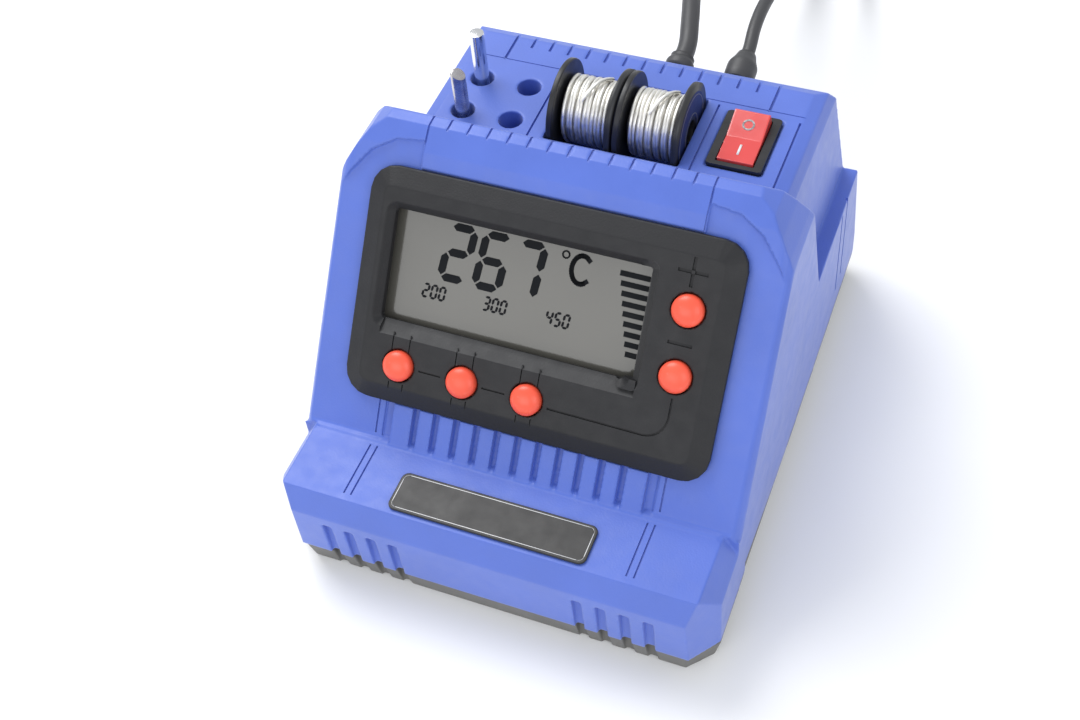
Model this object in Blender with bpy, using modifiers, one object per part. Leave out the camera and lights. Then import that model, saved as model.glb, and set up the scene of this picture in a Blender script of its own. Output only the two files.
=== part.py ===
"""Soldering iron station: a wedge-shaped bench unit with a sloped display panel, five push buttons,
a rocker switch, spare tips, two solder spools, a mains lead and a soldering iron on its own cable.

Metres, +Z up. The front faces -Y, +X is to the right, and the origin is the middle of the underside.
"""

import math

import bmesh
import bpy
from mathutils import Matrix, Vector

GAP = 0.0003  # left between pieces that touch
WALL = 0.0022  # wall of the moulded housing

# Outline of the housing, seen from above
HALF_WIDTH = 0.0615
REAR_HALF_WIDTH = 0.0590
FRONT_Y = -0.0622
REAR_FOOT_Y = 0.0940
CORNER_CUT_X = 0.0068
CORNER_CUT_Y = 0.0090

# Heights
SEAM_Z = 0.0085
BASE_TAPER = 0.0018
CREASE_Z = 0.0262
LEDGE_Z = 0.0340
SHOULDER_Z = 0.0490
DECK_Z = 0.0845
HOOD_Z = 0.1013

# Side profile of the housing
SEAM_FRONT_Y = -0.0608
LEDGE_FRONT_Y = -0.0592
PANEL_ANGLE = math.radians(52.5)
PANEL_Y = -0.01325
PANEL_Z = 0.0682
PANEL_TOP = 0.0355  # along the panel, from its middle
HOOD_EDGE_Y = 0.0136
HOOD_REAR_Y = 0.0180
HOOD_CORNER = (
    (0.0615, 0.0835),
    (0.0608, 0.0870),
    (0.0592, 0.0905),
    (0.0564, 0.0950),
    (0.0534, 0.0986),
    (0.0490, 0.1013),
)
SIDE_ROUND = 0.0055
CHAMFER_X = HALF_WIDTH - 0.0043
CHAMFER_DROP = 0.0070
REAR_TOP_Y = 0.0755
DECK_HALF_FRONT = 0.0520
DECK_ROUND = 0.0045

# Bezel and display, in the panel's own axes
BEZEL_SIZE = (0.1005, 0.0620)
BEZEL_CORNER = 0.0070
BEZEL_PROUD = 0.0032
BEZEL_BEVEL = (0.0050, 0.0024)
SEAT_DEPTH = 0.0010
SKIRT_INSET = 0.0035
SKIRT_WALL = 0.0016
SKIRT_DEPTH = 0.0032
WINDOW_CENTRE = (-0.0086, 0.0058)
WINDOW_SIZE = (0.0670, 0.0292)
WINDOW_FLARE = 0.0020
LCD_MARGIN = 0.0018
LCD_THICK = 0.0028
BOARD_SIZE = (0.0880, 0.0530)
BOARD_THICK = 0.0016
BOARD_DROP = 0.0042
POST_RADIUS = 0.0021
POST_PLACES = ((-0.0415, -0.0230), (0.0400, -0.0230), (0.0400, 0.0225), (-0.0300, 0.0245))
SCREW_RADIUS = 0.0010

# Buttons
BUTTON_RADIUS = 0.0041
BUTTON_DOME = 0.0023
BUTTON_RIM = 0.0008
BUTTON_CLEARANCE = 0.0004
BUTTON_TRAVEL = 0.0010
PRESET_V = -0.0200
PRESET_US = (-0.0346, -0.0166, 0.0014)
STEP_U = 0.0381
PLUS_V = 0.0124
MINUS_V = -0.0045

# The panel's wings, set back beside the bezel: outline (across, up)
WING_DEPTH = 0.0012
WING_X = 0.0378
WING_TOP = ((0.0630, 0.0170), (0.0575, 0.0265), (0.0520, 0.0335), (0.0455, 0.0375), (0.0378, 0.0385))

# Ribs under the bezel, and shallow grooves
RIB_SPAN = 0.0354
RIB_WIDE = 0.0064
RIB_COUNT = 10
RIB_GAP = 0.0018
RIB_DEPTH = 0.0020
RIB_FOOT = -0.0435
HOOD_GROOVES = 13
GROOVE_WIDTH = 0.0006
GROOVE_DEPTH = 0.0006
HOOD_GROOVE_SPAN = 0.0325
REAR_GROOVE_SPAN = 0.0380
FOOT_GROOVES = (0.0258, 0.0322, 0.0386, 0.0450)
FOOT_GROOVE_WIDTH = 0.0026
LABEL_SHARE = 0.598  # label's depth, as a share of the ledge's
LABEL_PLACE = 0.355  # label's middle, as a share of the ledge's depth

# Deck: tip holes, spool bay and switch
TIP_XS = (-0.0410, -0.0270)
TIP_YS = (0.0383, 0.0519)
TIP_HOLE_RADIUS = 0.0033
SOCKET_WALL = 0.0015
SOCKET_DEPTH = 0.0150
TIP_RADIUS = 0.0020
TIP_HEIGHTS = (0.0130, 0.0156)  # above the deck: front, rear
BAY_X = (-0.0163, 0.0214)
BAY_Y = (0.0338, 0.0615)
BAY_FLOOR_Z = 0.0700
SPOOL_RADIUS = 0.0130
SPOOL_Z = 0.0845
SPOOL_CLEARANCE = 0.0004
SPOOL_GAP = 0.0008
FLANGE = 0.0015
SPOOL_CORE = 0.0055
SPOOL_BORE = 0.0030
WIRE_RADIUS = 0.0094
SWITCH_CENTRE = (0.0352, 0.0475)
SWITCH_FRAME = (0.0150, 0.0210)
SWITCH_RECESS = 0.0008
SWITCH_PLATE = 0.0014
SWITCH_BODY = (0.0126, 0.0190, 0.0130)
ROCKER_SIZE = (0.0096, 0.0166)
ROCKER_OPENING = (0.0104, 0.0180)
ROCKER_TILT = math.radians(10)

# Leads: they leave the rear wall
EXIT_DROP = 0.0070  # below the deck
EXIT_Z = DECK_Z - EXIT_DROP
MAINS_X = 0.0070
IRON_X = 0.0242
GLAND_MAINS = 0.0036
GLAND_IRON = 0.0034
MAINS_RADIUS = 0.00265
CABLE_RADIUS = 0.0019
MAINS_COIL = (-0.0290, 0.2950)
MAINS_COIL_RADII = (0.0250, 0.0412)
MAINS_COIL_HEIGHT = 0.0108
CABLE_COIL = (0.0, 0.3750)
CABLE_COIL_RADII = (0.0168, 0.0284)
CABLE_COIL_HEIGHT = 0.0078

# Mains plug: it lies behind the coil, its pins pointing away from the station
PLUG_X = -0.0500
PLUG_CORD_Y = 0.3650
PLUG_Y = 0.3770
PLUG_SIZE = (0.0350, 0.0340, 0.0138)
PIN_RADIUS = 0.0020
PIN_REACH = 0.0190
PIN_ROOT = 0.0080
PIN_SPACING = 0.0190

# Soldering iron: it lies behind the station along Y, its tip towards the station
IRON_AXIS_X = 0.0480
IRON_REAR_Y = 0.4000
IRON_RADIUS = 0.0112
HANDLE_LENGTH = 0.0640
GRIP_LENGTH = 0.0440
COLLAR_LENGTH = 0.0110
BARREL_LENGTH = 0.0360
BARREL_RADIUS = 0.0034
IRON_TIP_LENGTH = 0.0170
TAIL_RELIEF = 0.0240

# Fixings
SCREW_PLACES = ((-0.0480, -0.0440), (0.0480, -0.0440), (-0.0440, 0.0660), (0.0440, 0.0660))
BOSS_RADIUS = 0.0040
HOUSING_SCREW_RADIUS = 0.0015
HEAD_RADIUS = 0.0028
HEAD_HEIGHT = 0.0022
FOOT_PAD_RADIUS = 0.0060
FOOT_PAD_DEPTH = 0.0012
PAD_PLACES = ((-0.0400, -0.0300), (0.0400, -0.0300), (-0.0400, 0.0550), (0.0400, 0.0550))
FLOOR = 0.0026
TRANSFORMER_CENTRE = (0.0, 0.0380)
CORE_SIZE = (0.0660, 0.0300, 0.0550)
CORE_LEG = 0.0200
CORE_YOKE = 0.0100

PARTS = None
CUTTERS = None
SIDE = Matrix(((0, 0, 1, 0), (1, 0, 0, 0), (0, 1, 0, 0), (0, 0, 0, 1)))  # outline in Y, Z along X
FACE = Matrix(((1, 0, 0, 0), (0, 0, -1, 0), (0, 1, 0, 0), (0, 0, 0, 1)))  # outline in X, Z along -Y
FLAT = Matrix.Identity(4)


# ---- outlines ---------------------------------------------------------------------------------


def inset(outline, distance):
    """The anticlockwise outline with every side moved inwards by the distance."""
    if not distance:
        return list(outline)
    moved = []
    for before, here, after in zip(outline[-1:] + outline[:-1], outline, outline[1:] + outline[:1]):
        first = (Vector(here) - Vector(before)).normalized()
        second = (Vector(after) - Vector(here)).normalized()
        normals = Vector((-first.y, first.x)), Vector((-second.y, second.x))
        middle = normals[0] + normals[1]
        moved.append(tuple(Vector(here) + middle * (2 * distance / middle.length_squared)))
    return moved


def rectangle(size, centre=(0, 0), corner=0.0, steps=4):
    """An anticlockwise rectangle, its corners rounded where a radius is given."""
    half = size[0] / 2 - corner, size[1] / 2 - corner
    if not corner:
        signs = ((1, 1), (-1, 1), (-1, -1), (1, -1))
        return [(centre[0] + half[0] * a, centre[1] + half[1] * b) for a, b in signs]
    points = []
    for quarter, (a, b) in enumerate(((1, 1), (-1, 1), (-1, -1), (1, -1))):
        for step in range(steps + 1):
            angle = math.pi / 2 * (quarter + step / steps)
            x = centre[0] + half[0] * a + corner * math.cos(angle)
            points.append((x, centre[1] + half[1] * b + corner * math.sin(angle)))
    return points


def circle(radius, centre=(0, 0), steps=24):
    turn = 2 * math.pi / steps
    return [
        (centre[0] + radius * math.cos(turn * k), centre[1] + radius * math.sin(turn * k))
        for k in range(steps)
    ]


def rear_y(z):
    """The rear wall leans forward from its foot to the deck."""
    return REAR_FOOT_Y + (REAR_TOP_Y - REAR_FOOT_Y) * z / DECK_Z


def panel_at(along):
    """(y, z) of a place on the sloped panel, measured up it from its middle."""
    return PANEL_Y + along * math.cos(PANEL_ANGLE), PANEL_Z + along * math.sin(PANEL_ANGLE)


def body_profile(bottom):
    """Side profile (y, z) of the foot, the panel, the hood and the shoulders behind it."""
    panel_foot = panel_at((LEDGE_Z - PANEL_Z) / math.sin(PANEL_ANGLE))
    return [
        (SEAM_FRONT_Y, bottom),
        (rear_y(bottom) - GAP, bottom),
        (rear_y(SHOULDER_Z) - GAP, SHOULDER_Z),
        (HOOD_REAR_Y + 0.020, SHOULDER_Z),
        (HOOD_REAR_Y + 0.008, DECK_Z),
        (HOOD_REAR_Y + 0.0015, HOOD_Z - 0.0025),
        (HOOD_REAR_Y - 0.001, HOOD_Z),
        (HOOD_EDGE_Y, HOOD_Z - 0.0003),
        panel_at(PANEL_TOP),
        panel_foot,
        (LEDGE_FRONT_Y, LEDGE_Z),
        (FRONT_Y, CREASE_Z),
    ]


def plan(bottom_inset=0.0):
    """Outline (x, y) of the housing from above, with its front corners cut off."""
    y_cut = FRONT_Y + CORNER_CUT_Y
    outline = [
        (HALF_WIDTH - CORNER_CUT_X, FRONT_Y),
        (HALF_WIDTH, y_cut),
        (REAR_HALF_WIDTH, REAR_FOOT_Y - 0.004),
        (REAR_HALF_WIDTH - 0.004, REAR_FOOT_Y),
    ]
    outline += [(-x, y) for x, y in reversed(outline)]
    return inset(outline, bottom_inset)


def hood_outline(bottom):
    """Outline (x, z) of the housing from the front, with the hood's round upper corners."""
    right = [(x - HOOD_CORNER[0][0] + HALF_WIDTH, z - HOOD_CORNER[-1][1] + HOOD_Z) for x, z in HOOD_CORNER]
    return [(-HALF_WIDTH, bottom), (HALF_WIDTH, bottom)] + right + [(-x, z) for x, z in reversed(right)]


def deck_outline(bottom):
    """Outline (x, z) of the rear block from behind: drafted walls and a flat deck."""
    foot = REAR_HALF_WIDTH - 0.0005
    slope = (foot - DECK_HALF_FRONT) / DECK_Z
    low = foot - slope * bottom
    right = [
        (low, bottom),
        (DECK_HALF_FRONT + slope * DECK_ROUND, DECK_Z - DECK_ROUND),
        (DECK_HALF_FRONT - DECK_ROUND * 0.3, DECK_Z - DECK_ROUND * 0.3),
        (DECK_HALF_FRONT - DECK_ROUND, DECK_Z),
    ]
    return right + [(-x, z) for x, z in reversed(right)]


def deck_profile(bottom):
    """Side profile (y, z) of the rear block."""
    front = HOOD_EDGE_Y + 0.001
    return [
        (front, bottom),
        (rear_y(bottom), bottom),
        (rear_y(DECK_Z - DECK_ROUND), DECK_Z - DECK_ROUND),
        (REAR_TOP_Y - DECK_ROUND * 0.3, DECK_Z - DECK_ROUND * 0.3),
        (REAR_TOP_Y - DECK_ROUND, DECK_Z),
        (front, DECK_Z),
    ]


# ---- solids -----------------------------------------------------------------------------------


def material(name, color, roughness, metallic=0.0):
    made = bpy.data.materials.new(name)
    made.use_nodes = True
    shader = made.node_tree.nodes["Principled BSDF"]
    shader.inputs["Base Color"].default_value = (*color, 1)
    shader.inputs["Roughness"].default_value = roughness
    shader.inputs["Metallic"].default_value = metallic
    made.diffuse_color = (*color, 1)
    return made


def add(name, mesh, finish=None, matrix=FLAT):
    """A new object: a part if it has a finish, and a cutter or other helper if it has none."""
    made = bpy.data.objects.new(name, mesh)
    made.matrix_world = matrix
    if finish is None:
        CUTTERS.objects.link(made)
        made.hide_render = True
        made.display_type = "WIRE"
    else:
        PARTS.objects.link(made)
        mesh.materials.clear()
        mesh.materials.append(material(name, *finish))
    return made


def finished(name, work):
    bmesh.ops.recalc_face_normals(work, faces=work.faces)
    mesh = bpy.data.meshes.new(name)
    work.to_mesh(mesh)
    work.free()
    return mesh


def loft(name, sections, finish=None, matrix=FLAT):
    """A solid through sections of equally many points, each section a closed loop."""
    work = bmesh.new()
    loops = [[work.verts.new(point) for point in section] for section in sections]
    for low, high in zip(loops, loops[1:]):
        for k in range(len(low)):
            after = (k + 1) % len(low)
            work.faces.new((low[k], low[after], high[after], high[k]))
    work.faces.new(reversed(loops[0]))
    work.faces.new(loops[-1])
    return add(name, finished(name, work), finish, matrix)


def prism(name, outline, low, high, finish=None, matrix=FLAT):
    return loft(name, [[(x, y, z) for x, y in outline] for z in (low, high)], finish, matrix)


def combs(name, blocks, matrix=FLAT):
    """One cutter of several separate boxes, each given as its low and high corner."""
    work = bmesh.new()
    for low, high in blocks:
        made = bmesh.ops.create_cube(work, size=1)["verts"]
        for vert in made:
            vert.co = [lo + (hi - lo) * (c + 0.5) for lo, hi, c in zip(low, high, vert.co)]
    return add(name, finished(name, work), None, matrix)


def box(name, low, high, finish=None, matrix=FLAT):
    outline = rectangle((high[0] - low[0], high[1] - low[1]), ((low[0] + high[0]) / 2, (low[1] + high[1]) / 2))
    return prism(name, outline, low[2], high[2], finish, matrix)


def drum(name, radius, low, high, centre=(0, 0), finish=None, matrix=FLAT, steps=24):
    return prism(name, circle(radius, centre, steps), low, high, finish, matrix)


def turned(name, profile, finish=None, matrix=FLAT, steps=24):
    """A solid of revolution about its own Z. The profile is (radius, height), down its outer side."""
    work = bmesh.new()
    verts = [work.verts.new((radius, 0, height)) for radius, height in profile]
    for a, b in zip(verts, verts[1:]):
        work.edges.new((a, b))
    if profile[0][0] > 0:
        work.edges.new((verts[-1], verts[0]))
    mesh = bpy.data.meshes.new(name)
    work.to_mesh(mesh)
    work.free()
    made = add(name, mesh, finish, matrix)
    screw = made.modifiers.new("Turn", "SCREW")
    screw.steps = screw.render_steps = steps
    screw.use_merge_vertices = True
    screw.merge_threshold = 0.00001
    screw.use_smooth_shade = True
    return made


def cut(target, *tools, operation="DIFFERENCE"):
    for tool in tools:
        modifier = target.modifiers.new(tool.name, "BOOLEAN")
        modifier.operation = operation
        modifier.object = tool


def join(target, *tools):
    cut(target, *tools, operation="UNION")


def keep(target, *tools):
    cut(target, *tools, operation="INTERSECT")


def tube(name, points, radius, finish, resolution=2):
    """A cord's free stretch: a round tube on a smooth curve through the route's points."""
    curve = bpy.data.curves.new(name, "CURVE")
    curve.dimensions = "3D"
    curve.bevel_depth = radius
    curve.bevel_resolution = resolution
    curve.use_fill_caps = True
    spline = curve.splines.new("POLY")
    smooth = smooth_route(points, radius * 5)
    spline.points.add(len(smooth) - 1)
    for place, point in zip(spline.points, smooth):
        place.co = (*point, 1)
    return add(name, curve, finish)


def smooth_route(points, step):
    """Points about a step apart on a Catmull-Rom curve through the route."""
    points = [Vector(p) for p in points]
    ends = [2 * points[0] - points[1]] + points + [2 * points[-1] - points[-2]]
    fine = []
    for a, b, c, d in zip(ends, ends[1:], ends[2:], ends[3:]):
        for k in range(24):
            t = k / 24
            along = 2 * b + (c - a) * t + (2 * a - 5 * b + 4 * c - d) * t**2
            fine.append((along + (3 * b - 3 * c + d - a) * t**3) / 2)
    fine.append(points[-1])
    total = sum((b - a).length for a, b in zip(fine, fine[1:]))
    count = max(2, round(total / step))
    spaced, walked, target = [fine[0]], 0.0, total / count
    for a, b in zip(fine, fine[1:]):
        span = (b - a).length
        while span and walked + span >= target * len(spaced) and len(spaced) < count:
            spaced.append(a.lerp(b, (target * len(spaced) - walked) / span))
        walked += span
    return spaced + [fine[-1]]


# ---- places -----------------------------------------------------------------------------------


def panel_frame():
    """Axes of the sloped panel: X across it, Y up it, Z out of it."""
    turn = Matrix.Rotation(PANEL_ANGLE, 4, "X")
    return Matrix.Translation((0, PANEL_Y, PANEL_Z)) @ turn


def exit_frame(x):
    """Axes at a lead's exit: Z square out of the leaning rear wall."""
    lean = math.atan2(REAR_FOOT_Y - REAR_TOP_Y, DECK_Z)
    place = Matrix.Translation((x, rear_y(EXIT_Z), EXIT_Z))
    return place @ Matrix.Rotation(-math.pi / 2 + lean, 4, "X")


PANEL = panel_frame()

BLUE = ((0.065, 0.130, 0.620), 0.45)
DARK = ((0.060, 0.060, 0.065), 0.50)
GREY = ((0.150, 0.148, 0.145), 0.60)
RED = ((0.900, 0.100, 0.060), 0.40)
BLACK = ((0.020, 0.020, 0.022), 0.50)
CORD = ((0.110, 0.110, 0.115), 0.55)
STEEL = ((0.550, 0.560, 0.580), 0.30, 1.0)
BRASS = ((0.780, 0.620, 0.300), 0.30, 1.0)
SOLDER = ((0.800, 0.790, 0.770), 0.25, 1.0)


# ---- housing ----------------------------------------------------------------------------------


def rounded_body(name, shrink, bottom):
    """The foot, panel and hood, the panel's side edges rounded, shrunk on every side."""
    body = prism(name, inset(body_profile(bottom - 0.010), shrink), -0.07, 0.07, matrix=SIDE)
    keep(
        body,
        prism(name + "_plan", plan(shrink), bottom, HOOD_Z + 0.01),
        prism(name + "_front", inset(hood_outline(bottom - 0.02), shrink), -0.12, 0.08, matrix=FACE),
    )
    radius = SIDE_ROUND - shrink
    centre = HALF_WIDTH - SIDE_ROUND, -SIDE_ROUND
    turns = [math.pi / 2 * k / 6 for k in range(7)]
    arc = [(centre[0] + radius * math.cos(t), centre[1] + radius * math.sin(t)) for t in turns]
    corner = arc + [(centre[0], 0.02), (HALF_WIDTH + 0.01, 0.02), (HALF_WIDTH + 0.01, centre[1])]
    out = Vector((CHAMFER_DROP, HALF_WIDTH - CHAMFER_X)).normalized() * shrink
    high = Vector((CHAMFER_X, LEDGE_Z)) - out
    low = Vector((HALF_WIDTH, LEDGE_Z - CHAMFER_DROP)) - out
    reach = (high - low) * 1.2
    wedge = [tuple(low - reach), tuple(high + reach), (HALF_WIDTH + 0.01, LEDGE_Z + 0.002), (HALF_WIDTH + 0.01, 0.0)]
    inner = panel_at((LEDGE_Z - PANEL_Z) / math.sin(PANEL_ANGLE))[0]
    for side in (-1, 1):
        outline = [(side * u, n) for u, n in corner]
        cut(body, prism(f"{name}_edge_{side}", outline, -0.06, -RIB_FOOT - shrink, matrix=PANEL @ FACE))
        outline = [(side * x, z) for x, z in wedge]
        cut(body, prism(f"{name}_chamfer_{side}", outline, -inner - 0.001, 0.08, matrix=FACE))
    return body


def rear_block(name, shrink, bottom):
    block = prism(name, inset(deck_outline(bottom - shrink), shrink), -0.12, 0.0, matrix=FACE)
    side = inset(deck_profile(bottom - shrink), shrink)
    keep(block, prism(name + "_side", side, -0.07, 0.07, matrix=SIDE))
    return block


def groove_blocks(count, span, y_low, y_high, z_low, z_high, long_ends=0.0):
    """Equal cuts across the width; the two end ones may run further forward."""
    blocks = []
    for k in range(count):
        x = -span + 2 * span * k / (count - 1)
        front = y_low - (long_ends if k in (0, count - 1) else 0)
        blocks.append(((x - GROOVE_WIDTH / 2, front, z_low), (x + GROOVE_WIDTH / 2, y_high, z_high)))
    return blocks


def rib_gaps():
    """(u low, u high) of each gap between the ribs under the bezel."""
    inner = RIB_SPAN - RIB_WIDE
    pitch = 2 * inner / RIB_COUNT
    centres = [-inner + pitch * k for k in range(RIB_COUNT + 1)]
    return [(u - RIB_GAP / 2, u + RIB_GAP / 2) for u in centres]


def cut_face_relief(body):
    """The panel is set back on both sides of the ribs, and between them, below the bezel."""
    out = Vector((-math.sin(PANEL_ANGLE), math.cos(PANEL_ANGLE)))
    foot = LEDGE_Z + GAP
    top = Vector(panel_at(-BEZEL_SIZE[1] / 2 + 0.002))
    back = top - out * RIB_DEPTH
    front = top + out * 0.012
    slope = math.tan(PANEL_ANGLE)
    outline = [tuple(front), tuple(back)]
    outline += [(place.x - (place.y - foot) / slope, foot) for place in (back, front)]
    spans = [(-WING_X - GAP, -RIB_SPAN), (RIB_SPAN, WING_X + GAP)] + rib_gaps()
    for k, (start, end) in enumerate(spans):
        cut(body, prism(f"face_relief_{k}", outline, start, end, matrix=SIDE))
    for side in (-1, 1):
        corners = [(WING_X, -0.055), (HALF_WIDTH + 0.001, -0.055)] + list(WING_TOP)
        wing = prism(f"wing_{side}", [(side * u, v) for u, v in corners], -WING_DEPTH, 0.02, matrix=PANEL)
        keep(wing, box(f"above_ledge_{side}", (-0.08, -0.08, foot), (0.08, 0.05, 0.12)))
        cut(body, wing)


def foot_groove_blocks(depth):
    blocks = []
    for x in FOOT_GROOVES:
        for centre in (-x, x):
            low = (centre - FOOT_GROOVE_WIDTH / 2, FRONT_Y - 0.005, -0.001)
            blocks.append((low, (centre + FOOT_GROOVE_WIDTH / 2, SEAM_FRONT_Y + depth, CREASE_Z - 0.0035)))
    return blocks


def socket_places():
    return [(x, y) for y in TIP_YS for x in TIP_XS]


def bay_walls():
    """The spool bay hangs below the deck as a tub, with a round cradle for the spools."""
    low = (BAY_X[0] - WALL, BAY_Y[0] - WALL, BAY_FLOOR_Z - WALL)
    return box("bay_tub", low, (BAY_X[1] + WALL, BAY_Y[1] + WALL, DECK_Z - WALL / 2))


def bay_cutters():
    middle = (BAY_Y[0] + BAY_Y[1]) / 2
    radius = SPOOL_RADIUS + SPOOL_CLEARANCE
    half = min(radius, (BAY_Y[1] - BAY_Y[0]) / 2)
    mouth = box("bay_mouth", (BAY_X[0], BAY_Y[0], SPOOL_Z), (BAY_X[1], BAY_Y[1], DECK_Z + 0.02))
    cradle = drum("bay_cradle", radius, BAY_X[0], BAY_X[1], (middle, SPOOL_Z), matrix=SIDE, steps=48)
    well = box("bay_well", (BAY_X[0], middle - half, SPOOL_Z - 0.001), (BAY_X[1], middle + half, DECK_Z + 0.01))
    return mouth, cradle, well


def make_housing():
    body = rounded_body("upper_housing", 0, SEAM_Z)
    CUTTERS.objects.unlink(body)
    PARTS.objects.link(body)
    body.hide_render = False
    body.display_type = "TEXTURED"
    body.data.materials.append(material("upper_housing", *BLUE))
    join(body, rear_block("rear_block", 0, SEAM_Z))
    cut(body, rounded_body("body_cavity", WALL, SEAM_Z - 0.004), rear_block("rear_cavity", WALL, SEAM_Z - 0.004))

    join(body, bay_walls())
    for k, (x, y) in enumerate(socket_places()):
        low = DECK_Z - SOCKET_DEPTH - WALL
        join(body, drum(f"socket_{k}", TIP_HOLE_RADIUS + SOCKET_WALL, low, DECK_Z - WALL / 2, (x, y)))
    for k, (x, y) in enumerate(SCREW_PLACES):
        top = LEDGE_Z - WALL / 2 if y < 0 else DECK_Z - WALL / 2
        join(body, drum(f"boss_{k}", BOSS_RADIUS, SEAM_Z + GAP, top, (x, y), steps=16))

    cut(body, *bay_cutters())
    for k, (x, y) in enumerate(socket_places()):
        cut(body, drum(f"tip_hole_{k}", TIP_HOLE_RADIUS, DECK_Z - SOCKET_DEPTH, DECK_Z + 0.01, (x, y)))
    for k, (x, y) in enumerate(SCREW_PLACES):
        radius = HOUSING_SCREW_RADIUS + GAP
        cut(body, drum(f"screw_hole_{k}", radius, SEAM_Z - 0.01, SEAM_Z + 0.012, (x, y), steps=16))
    cut_switch_seat(body)
    for name, x, radius in (("mains", MAINS_X, GLAND_MAINS), ("iron", IRON_X, GLAND_IRON)):
        cut(body, drum(name + "_exit", radius, -0.02, 0.02, matrix=exit_frame(x)))

    outer = rectangle((BEZEL_SIZE[0] + 2 * GAP, BEZEL_SIZE[1] + 2 * GAP), corner=BEZEL_CORNER + GAP)
    skirt = [s - 2 * (SKIRT_INSET - GAP) for s in BEZEL_SIZE]
    cut(body, prism("bezel_seat", outer, -SEAT_DEPTH, 0.02, matrix=PANEL))
    cut(body, prism("bezel_hole", rectangle(skirt, corner=BEZEL_CORNER - SKIRT_INSET), -0.02, 0.02, matrix=PANEL))
    cut_face_relief(body)
    cut(body, combs("foot_grooves", foot_groove_blocks(0.0007)))
    cut(body, combs("hood_grooves", groove_blocks(
        HOOD_GROOVES, HOOD_GROOVE_SPAN, HOOD_EDGE_Y - 0.001, HOOD_REAR_Y + 0.004, HOOD_Z - GROOVE_DEPTH, HOOD_Z + 0.01)))
    cut(body, combs("rear_grooves", groove_blocks(
        15, REAR_GROOVE_SPAN, 0.0675, REAR_TOP_Y + 0.01, DECK_Z - GROOVE_DEPTH, DECK_Z + 0.01, 0.0065)))
    return body


def cut_switch_seat(body):
    x, y = SWITCH_CENTRE
    seat = rectangle([s + 2 * GAP for s in SWITCH_FRAME], SWITCH_CENTRE)
    hole = rectangle([s + 2 * GAP for s in SWITCH_BODY[:2]], SWITCH_CENTRE)
    cut(body, prism("switch_seat", seat, DECK_Z - SWITCH_RECESS, DECK_Z + 0.01))
    cut(body, prism("switch_hole", hole, DECK_Z - 0.01, DECK_Z + 0.01))


def make_base():
    top = SEAM_Z - GAP
    outline = plan_at_seam()
    low = inset(outline, BASE_TAPER)
    base = loft("base_plate", [[(x, y, 0) for x, y in low], [(x, y, top) for x, y in outline]], GREY)
    inner = inset(outline, BASE_TAPER + WALL)
    cut(base, prism("base_cavity", inner, FLOOR, top + 0.01))
    for k, (x, y) in enumerate(SCREW_PLACES):
        join(base, drum(f"base_boss_{k}", BOSS_RADIUS + 0.001, FLOOR / 2, top, (x, y), steps=16))
    for k, (x, y) in enumerate(SCREW_PLACES):
        seat = HEAD_HEIGHT + 0.0010
        wide = circle(HEAD_RADIUS + GAP, (x, y), 16)
        narrow = circle(HOUSING_SCREW_RADIUS + GAP, (x, y), 16)
        levels = ((wide, -0.01), (wide, seat), (narrow, seat), (narrow, top + 0.01))
        cut(base, loft(f"base_hole_{k}", [[(a, b, z) for a, b in ring] for ring, z in levels]))
    for k, (x, y) in enumerate(PAD_PLACES):
        cut(base, drum(f"pad_recess_{k}", FOOT_PAD_RADIUS + GAP, -0.01, FOOT_PAD_DEPTH + GAP, (x, y)))
    for k, (x, y) in enumerate(transformer_screws()):
        cut(base, drum(f"core_hole_{k}", HOUSING_SCREW_RADIUS + GAP, -0.01, top, (x, y), steps=16))
    cut(base, combs("base_grooves", foot_groove_blocks(BASE_TAPER + 0.0007)))
    return base


def plan_at_seam():
    """The housing's outline where it meets the base: its front wall leans in to the seam."""
    lean = SEAM_FRONT_Y - FRONT_Y
    back = rear_y(SEAM_Z)
    outline = []
    for x, y in plan():
        y = y + lean if y < FRONT_Y + CORNER_CUT_Y / 2 else y
        outline.append((x, min(y, back)))
    return outline


def transformer_screws():
    x, y = TRANSFORMER_CENTRE
    reach = CORE_SIZE[0] / 2 + 0.0045
    return [(x - reach, y), (x + reach, y)]


# ---- bezel, display, buttons --------------------------------------------------------------------


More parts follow.
